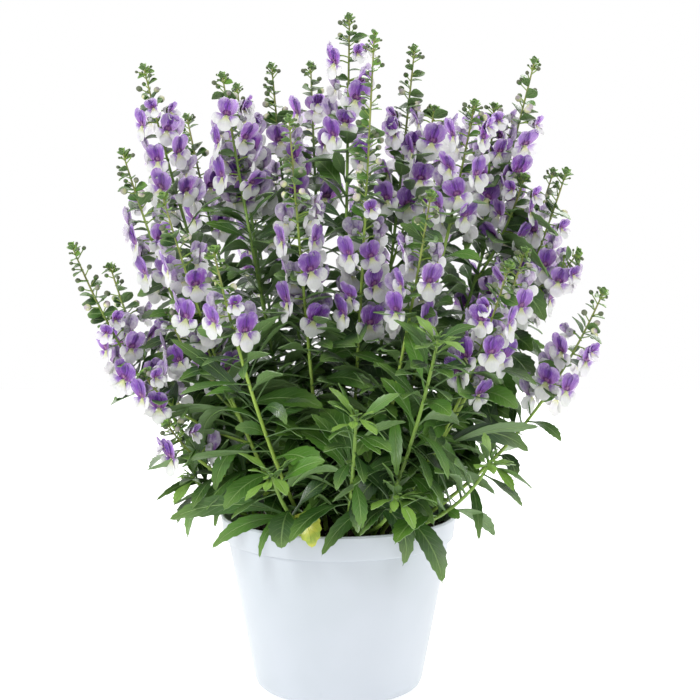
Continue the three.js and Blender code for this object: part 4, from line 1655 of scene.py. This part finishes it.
def colour(name):
    """A named screen colour, as the linear one that shaders take."""
    code = COLOURS[name]
    parts = [int(code[i:i + 2], 16) / 255 for i in (0, 2, 4)]
    return (*[p / 12.92 if p <= 0.04045 else ((p + 0.055) / 1.055) ** 2.4 for p in parts], 1)


def petal_finish():
    """Purple hood and white lip with a ragged edge between them, round a marked throat."""
    n = Nodes("angelonia_petal")
    zone, grain = n.plant_layers()
    soft = n.noise(260, 4)
    coarse = n.noise(90, 2)
    vein = n.math("SINE", n.times(grain[0], 16))
    vein = n.times(n.ramp(vein, 0.6, 1), n.ramp(grain[1], 0.95, 0.2))
    ragged = n.plus(zone[0], n.times(n.minus(soft, 0.5), 0.5))
    lip = lip_colour(n, coarse, vein)
    petal = n.mix(n.ramp(ragged, 0.2, 0.62), lip, hood_colour(n, zone, grain, soft, coarse))
    petal = throat_colour(n, zone, petal)
    n.bump(n.plus(n.times(soft, 0.5), n.times(vein, 0.5)), 0.25, 0.0002)
    rough = n.ramp(soft, 0.2, 0.8, 0.5, 0.68)
    passing = dict(Subsurface_Weight=0.8, Subsurface_Radius=(1, 0.9, 1), Subsurface_Scale=0.004)
    return n.finish(petal, rough, Sheen_Weight=0.15, Specular_IOR_Level=0.35, **passing)


def hood_colour(n, zone, grain, soft, coarse):
    """Purple, no two florets alike, with streaks, a pale margin, and a ringed mark at its foot."""
    hood = n.mix(n.ramp(coarse, 0.3, 0.7), colour("hood_dark"), colour("hood_bright"))
    hood = n.mix(n.times(grain[2], 0.4), hood, colour("hood_tint"))
    streaks = n.noise(14, 3, n.stretched(n.attribute("grain"), (1, 0.22, 7)))
    hood = n.mix(n.ramp(streaks, 0.5, 0.75, 0, 0.45), hood, colour("hood_streak"))
    rim = n.math("MAXIMUM", grain[0], n.times(grain[1], 0.9))
    margin = n.times(n.ramp(rim, 0.55, 1), n.ramp(soft, 0.35, 0.65))
    hood = n.mix(n.times(margin, 0.65), hood, colour("hood_margin"))
    far = hood_mark(n, grain)
    hooded = n.ramp(zone[0], 0.75, 0.88)
    hood = n.mix(n.times(hooded, n.ramp(far, 5.5, 1.8, 0, 0.8)), hood, colour("mark_ring"))
    return n.mix(n.times(hooded, n.ramp(far, 1.5, 0.5, 0, 0.75)), hood, colour("mark_middle"))


def hood_mark(n, grain):
    """How far a point of a hood's lobe is from the mark at its foot, squared, in half widths of the mark."""
    aside = n.math("DIVIDE", n.plus(grain[0], 0.5), 0.34)
    along = n.math("DIVIDE", n.minus(grain[1], 0.13), 0.08)
    return n.plus(n.times(aside, aside), n.times(along, along))


def lip_colour(n, coarse, vein):
    """White, a little lilac in places, with faint veins."""
    lip = n.mix(n.ramp(coarse, 0.35, 0.75), colour("lip_white"), colour("lip_lilac"))
    return n.mix(n.times(vein, 0.2), lip, colour("lip_vein"))


def throat_colour(n, zone, petal):
    """A dark edge and pink middle, yellow-green on the lip below, and painted shade, nearly black, deep in
    the throat of a floret that only opens.
    """
    petal = n.mix(n.ramp(zone[1], 0.25, 0.6, 0, 0.6), petal, colour("throat_edge"))
    petal = n.mix(n.ramp(zone[1], 0.72, 0.95, 0, 0.75), petal, colour("throat_pink"))
    petal = n.mix(n.ramp(zone[2], 0.42, 0.85, 0, 0.85), petal, colour("lip_foot"))
    # Painted shade: the deep middle of an opening floret's throat goes nearly black
    return n.mix(n.ramp(zone[1], 1.1, 1.45, 0, 0.95), petal, colour("throat_painted_shade"))


def leaf_finish():
    """Dark green with pale veins, paler and greyer beneath, brighter where young, and yellow where aged."""
    n = Nodes("angelonia_leaf")
    zone, grain = n.plant_layers()
    coarse = n.noise(70, 3)
    fine = n.noise(900, 2)
    old = n.mix(n.ramp(coarse, 0.3, 0.7), colour("leaf_dark"), colour("leaf_green"))
    old = n.mix(n.times(n.times(grain[2], grain[2]), 0.95), old, colour("leaf_light"))
    young = n.mix(coarse, colour("leaf_young"), colour("leaf_young_bright"))
    top = n.mix(n.ramp(zone[0], 0.25, 0.9), old, young)
    top = n.mix(n.times(n.ramp(grain[0], 0.55, 1), 0.5), top, colour("leaf_tip"))
    under = n.mix(coarse, colour("leaf_back"), colour("leaf_back_pale"))
    blade = n.mix(zone[1], top, under)
    veins = leaf_veins(n, grain)
    blade = n.mix(n.times(veins, 0.6), blade, colour("leaf_vein"))
    yellow = n.mix(n.ramp(coarse, 0.4, 0.65), colour("leaf_yellow"), colour("leaf_yellow_green"))
    blade = n.mix(zone[2], blade, yellow)
    n.bump(n.minus(n.times(fine, 0.25), veins), 0.75, 0.0007)
    rough = n.ramp(fine, 0.2, 0.8, 0.27, 0.42)
    return n.finish(blade, rough, Specular_IOR_Level=0.65)


def leaf_veins(n, grain):
    """The midrib, and nine fainter side veins on each side that lead towards the tip."""
    across = n.math("ABSOLUTE", grain[1])
    lead = n.minus(n.times(grain[0], 9), n.times(across, 2.2))
    side = n.math("ABSOLUTE", n.minus(n.math("FRACT", lead), 0.5))
    side = n.times(n.ramp(side, 0.1, 0.02), n.ramp(across, 1.0, 0.3))
    rib = n.ramp(across, 0.1, 0.02)
    return n.math("MAXIMUM", n.times(rib, 0.8), n.times(side, 0.3))


def stem_finish():
    """Green skin with painted light, yellower at the plant's front, and painted shade, darker, behind, with
    fine lines and a brown flush towards a raceme's tip.
    """
    n = Nodes("angelonia_stem")
    zone, grain = n.plant_layers()
    coarse = n.noise(60, 3)
    fine = n.noise(700, 2)
    # Painted light and shade: the stem's place front to back picks between the shaded and the lit green
    green = n.mix(grain[2], colour("stem_shade"), colour("stem_painted_light"))
    green = n.mix(n.times(n.ramp(coarse, 0.3, 0.7), 0.35), green, colour("stem_blotch"))
    flush = n.mix(coarse, colour("flush_brown"), colour("flush_green"))
    skin = n.mix(n.ramp(zone[0], 0.4, 0.75), green, flush)
    line = n.math("SINE", n.times(grain[1], 50))
    skin = n.mix(n.times(n.ramp(line, 0.3, 1), 0.25), skin, colour("stem_line"))
    n.bump(n.plus(n.times(line, 0.4), fine), 0.3, 0.0002)
    return n.finish(skin, n.ramp(fine, 0.2, 0.8, 0.42, 0.6))


def bud_finish():
    """Dark green when small, and cream flushed with purple before it opens."""
    n = Nodes("angelonia_bud")
    zone, grain = n.plant_layers()
    coarse = n.noise(300, 3)
    small = n.mix(coarse, colour("bud_green"), colour("bud_brown"))
    cream = n.mix(n.ramp(coarse, 0.35, 0.65), colour("bud_cream"), colour("bud_pale"))
    cream = n.mix(n.ramp(grain[1], 0.6, 1, 0, 0.5), cream, colour("bud_purple"))
    skin = n.mix(n.ramp(zone[0], 0.45, 0.8), small, cream)
    skin = n.mix(n.ramp(grain[1], 0.42, 0.2), skin, colour("bud_calyx"))
    n.bump(coarse, 0.25, 0.0002)
    return n.finish(skin, n.ramp(coarse, 0.3, 0.7, 0.45, 0.65))


def pot_plastic():
    """Pale blue-white moulded plastic, satin, with a very fine grain."""
    n = Nodes("pot_plastic")
    cloud = n.noise(9, 3)
    fine = n.noise(1400, 2)
    tone = n.mix(n.ramp(cloud, 0.35, 0.65), colour("pot_blue"), colour("pot_pale"))
    tone = n.mix(n.ramp(n.noise(160, 4), 0.62, 0.8, 0, 0.25), tone, colour("pot_shade"))
    n.bump(fine, 0.12, 0.0002)
    rough = n.ramp(cloud, 0.2, 0.8, 0.36, 0.48)
    return n.finish(tone, rough, Sheen_Weight=0.3, Sheen_Roughness=0.4)


def soil_mix():
    """Damp peat and bark."""
    n = Nodes("soil_mix")
    coarse = n.noise(160, 4)
    spots = n.noise(700, 2)
    earth = n.mix(n.ramp(coarse, 0.35, 0.65), colour("peat_dark"), colour("peat"))
    earth = n.mix(n.ramp(spots, 0.62, 0.75, 0, 0.6), earth, colour("bark"))
    n.bump(n.plus(coarse, spots), 0.9, 0.001)
    return n.finish(earth, n.ramp(spots, 0.3, 0.7, 0.75, 0.95))


# Studio

def studio():
    """A pale floor, soft lights and the camera at the photograph's angle."""
    bm = bmesh.new()
    bmesh.ops.create_grid(bm, x_segments=2, y_segments=2, size=FLOOR_HALF)
    floor = plain_piece(bm, "studio_floor")
    floor.data.materials.append(studio_white())
    bpy.context.scene.world = white_surround()
    for name, (place, size, power) in LIGHTS.items():
        soft_light(name, place, size, power)
    camera()


def studio_white():
    """The floor's pale finish, which glows a little so that it blends into the surround."""
    n = Nodes("studio_floor")
    tone = n.mix(n.noise(2, 2), colour("floor_grey"), colour("floor_white"))
    return n.finish(tone, 0.9, Emission_Color=(1, 1, 1, 1), Emission_Strength=FLOOR_GLOW)


def white_surround():
    """A surround that lights the plant softly and is plain white behind it."""
    world = bpy.data.worlds.new("studio")
    world.use_nodes = True
    tree = world.node_tree
    shade = tree.nodes["Background"]
    shade.inputs["Color"].default_value = (1, 1, 1, 1)
    seen = tree.nodes.new("ShaderNodeLightPath").outputs["Is Camera Ray"]
    level = tree.nodes.new("ShaderNodeMapRange")
    level.inputs["To Min"].default_value = SURROUND
    level.inputs["To Max"].default_value = 1
    tree.links.new(seen, level.inputs["Value"])
    tree.links.new(level.outputs["Result"], shade.inputs["Strength"])
    return world


def soft_light(name, place, size, power):
    light = bpy.data.lights.new(name, "AREA")
    light.size = size
    light.energy = power
    lamp = bpy.data.objects.new(name, light)
    aim(lamp, Vector(place), LIGHT_AIM)


def camera():
    lens = bpy.data.cameras.new("camera")
    lens.lens = LENS
    lens.sensor_width = SENSOR
    lens.clip_end = 20
    eye = bpy.data.objects.new("camera", lens)
    aim(eye, EYE, EYE_AIM)
    bpy.context.scene.camera = eye
    bpy.context.scene.view_settings.view_transform = "Standard"


def aim(thing, place, target):
    """Stands a lamp or the camera in its place and turns it to its target."""
    thing.location = place
    thing.rotation_euler = (target - place).to_track_quat("-Z", "Y").to_euler()
    bpy.context.scene.collection.objects.link(thing)


SHOWN = shown_cells()
PLANT_FINISHES = [stem_finish(), petal_finish(), leaf_finish(), bud_finish()]


def main():
    """Lays out the plant, then makes every piece and the studio."""
    templates = Templates()
    spikes = []
    for index in range(len(SPIKES)):
        spikes.append(Spike(index, spikes))
    shoots = [Shoot(index) for index in range(len(SHOOTS))]
    sprays = [Spray(index, spikes) for index in range(len(SPRAYS))]
    for spike in spikes:
        raceme_piece(spike, [spray for spray in sprays if spray.parent is spike], templates)
    leafy_pieces(spikes, shoots, templates)
    pot_piece()
    soil_piece()
    studio()


main()
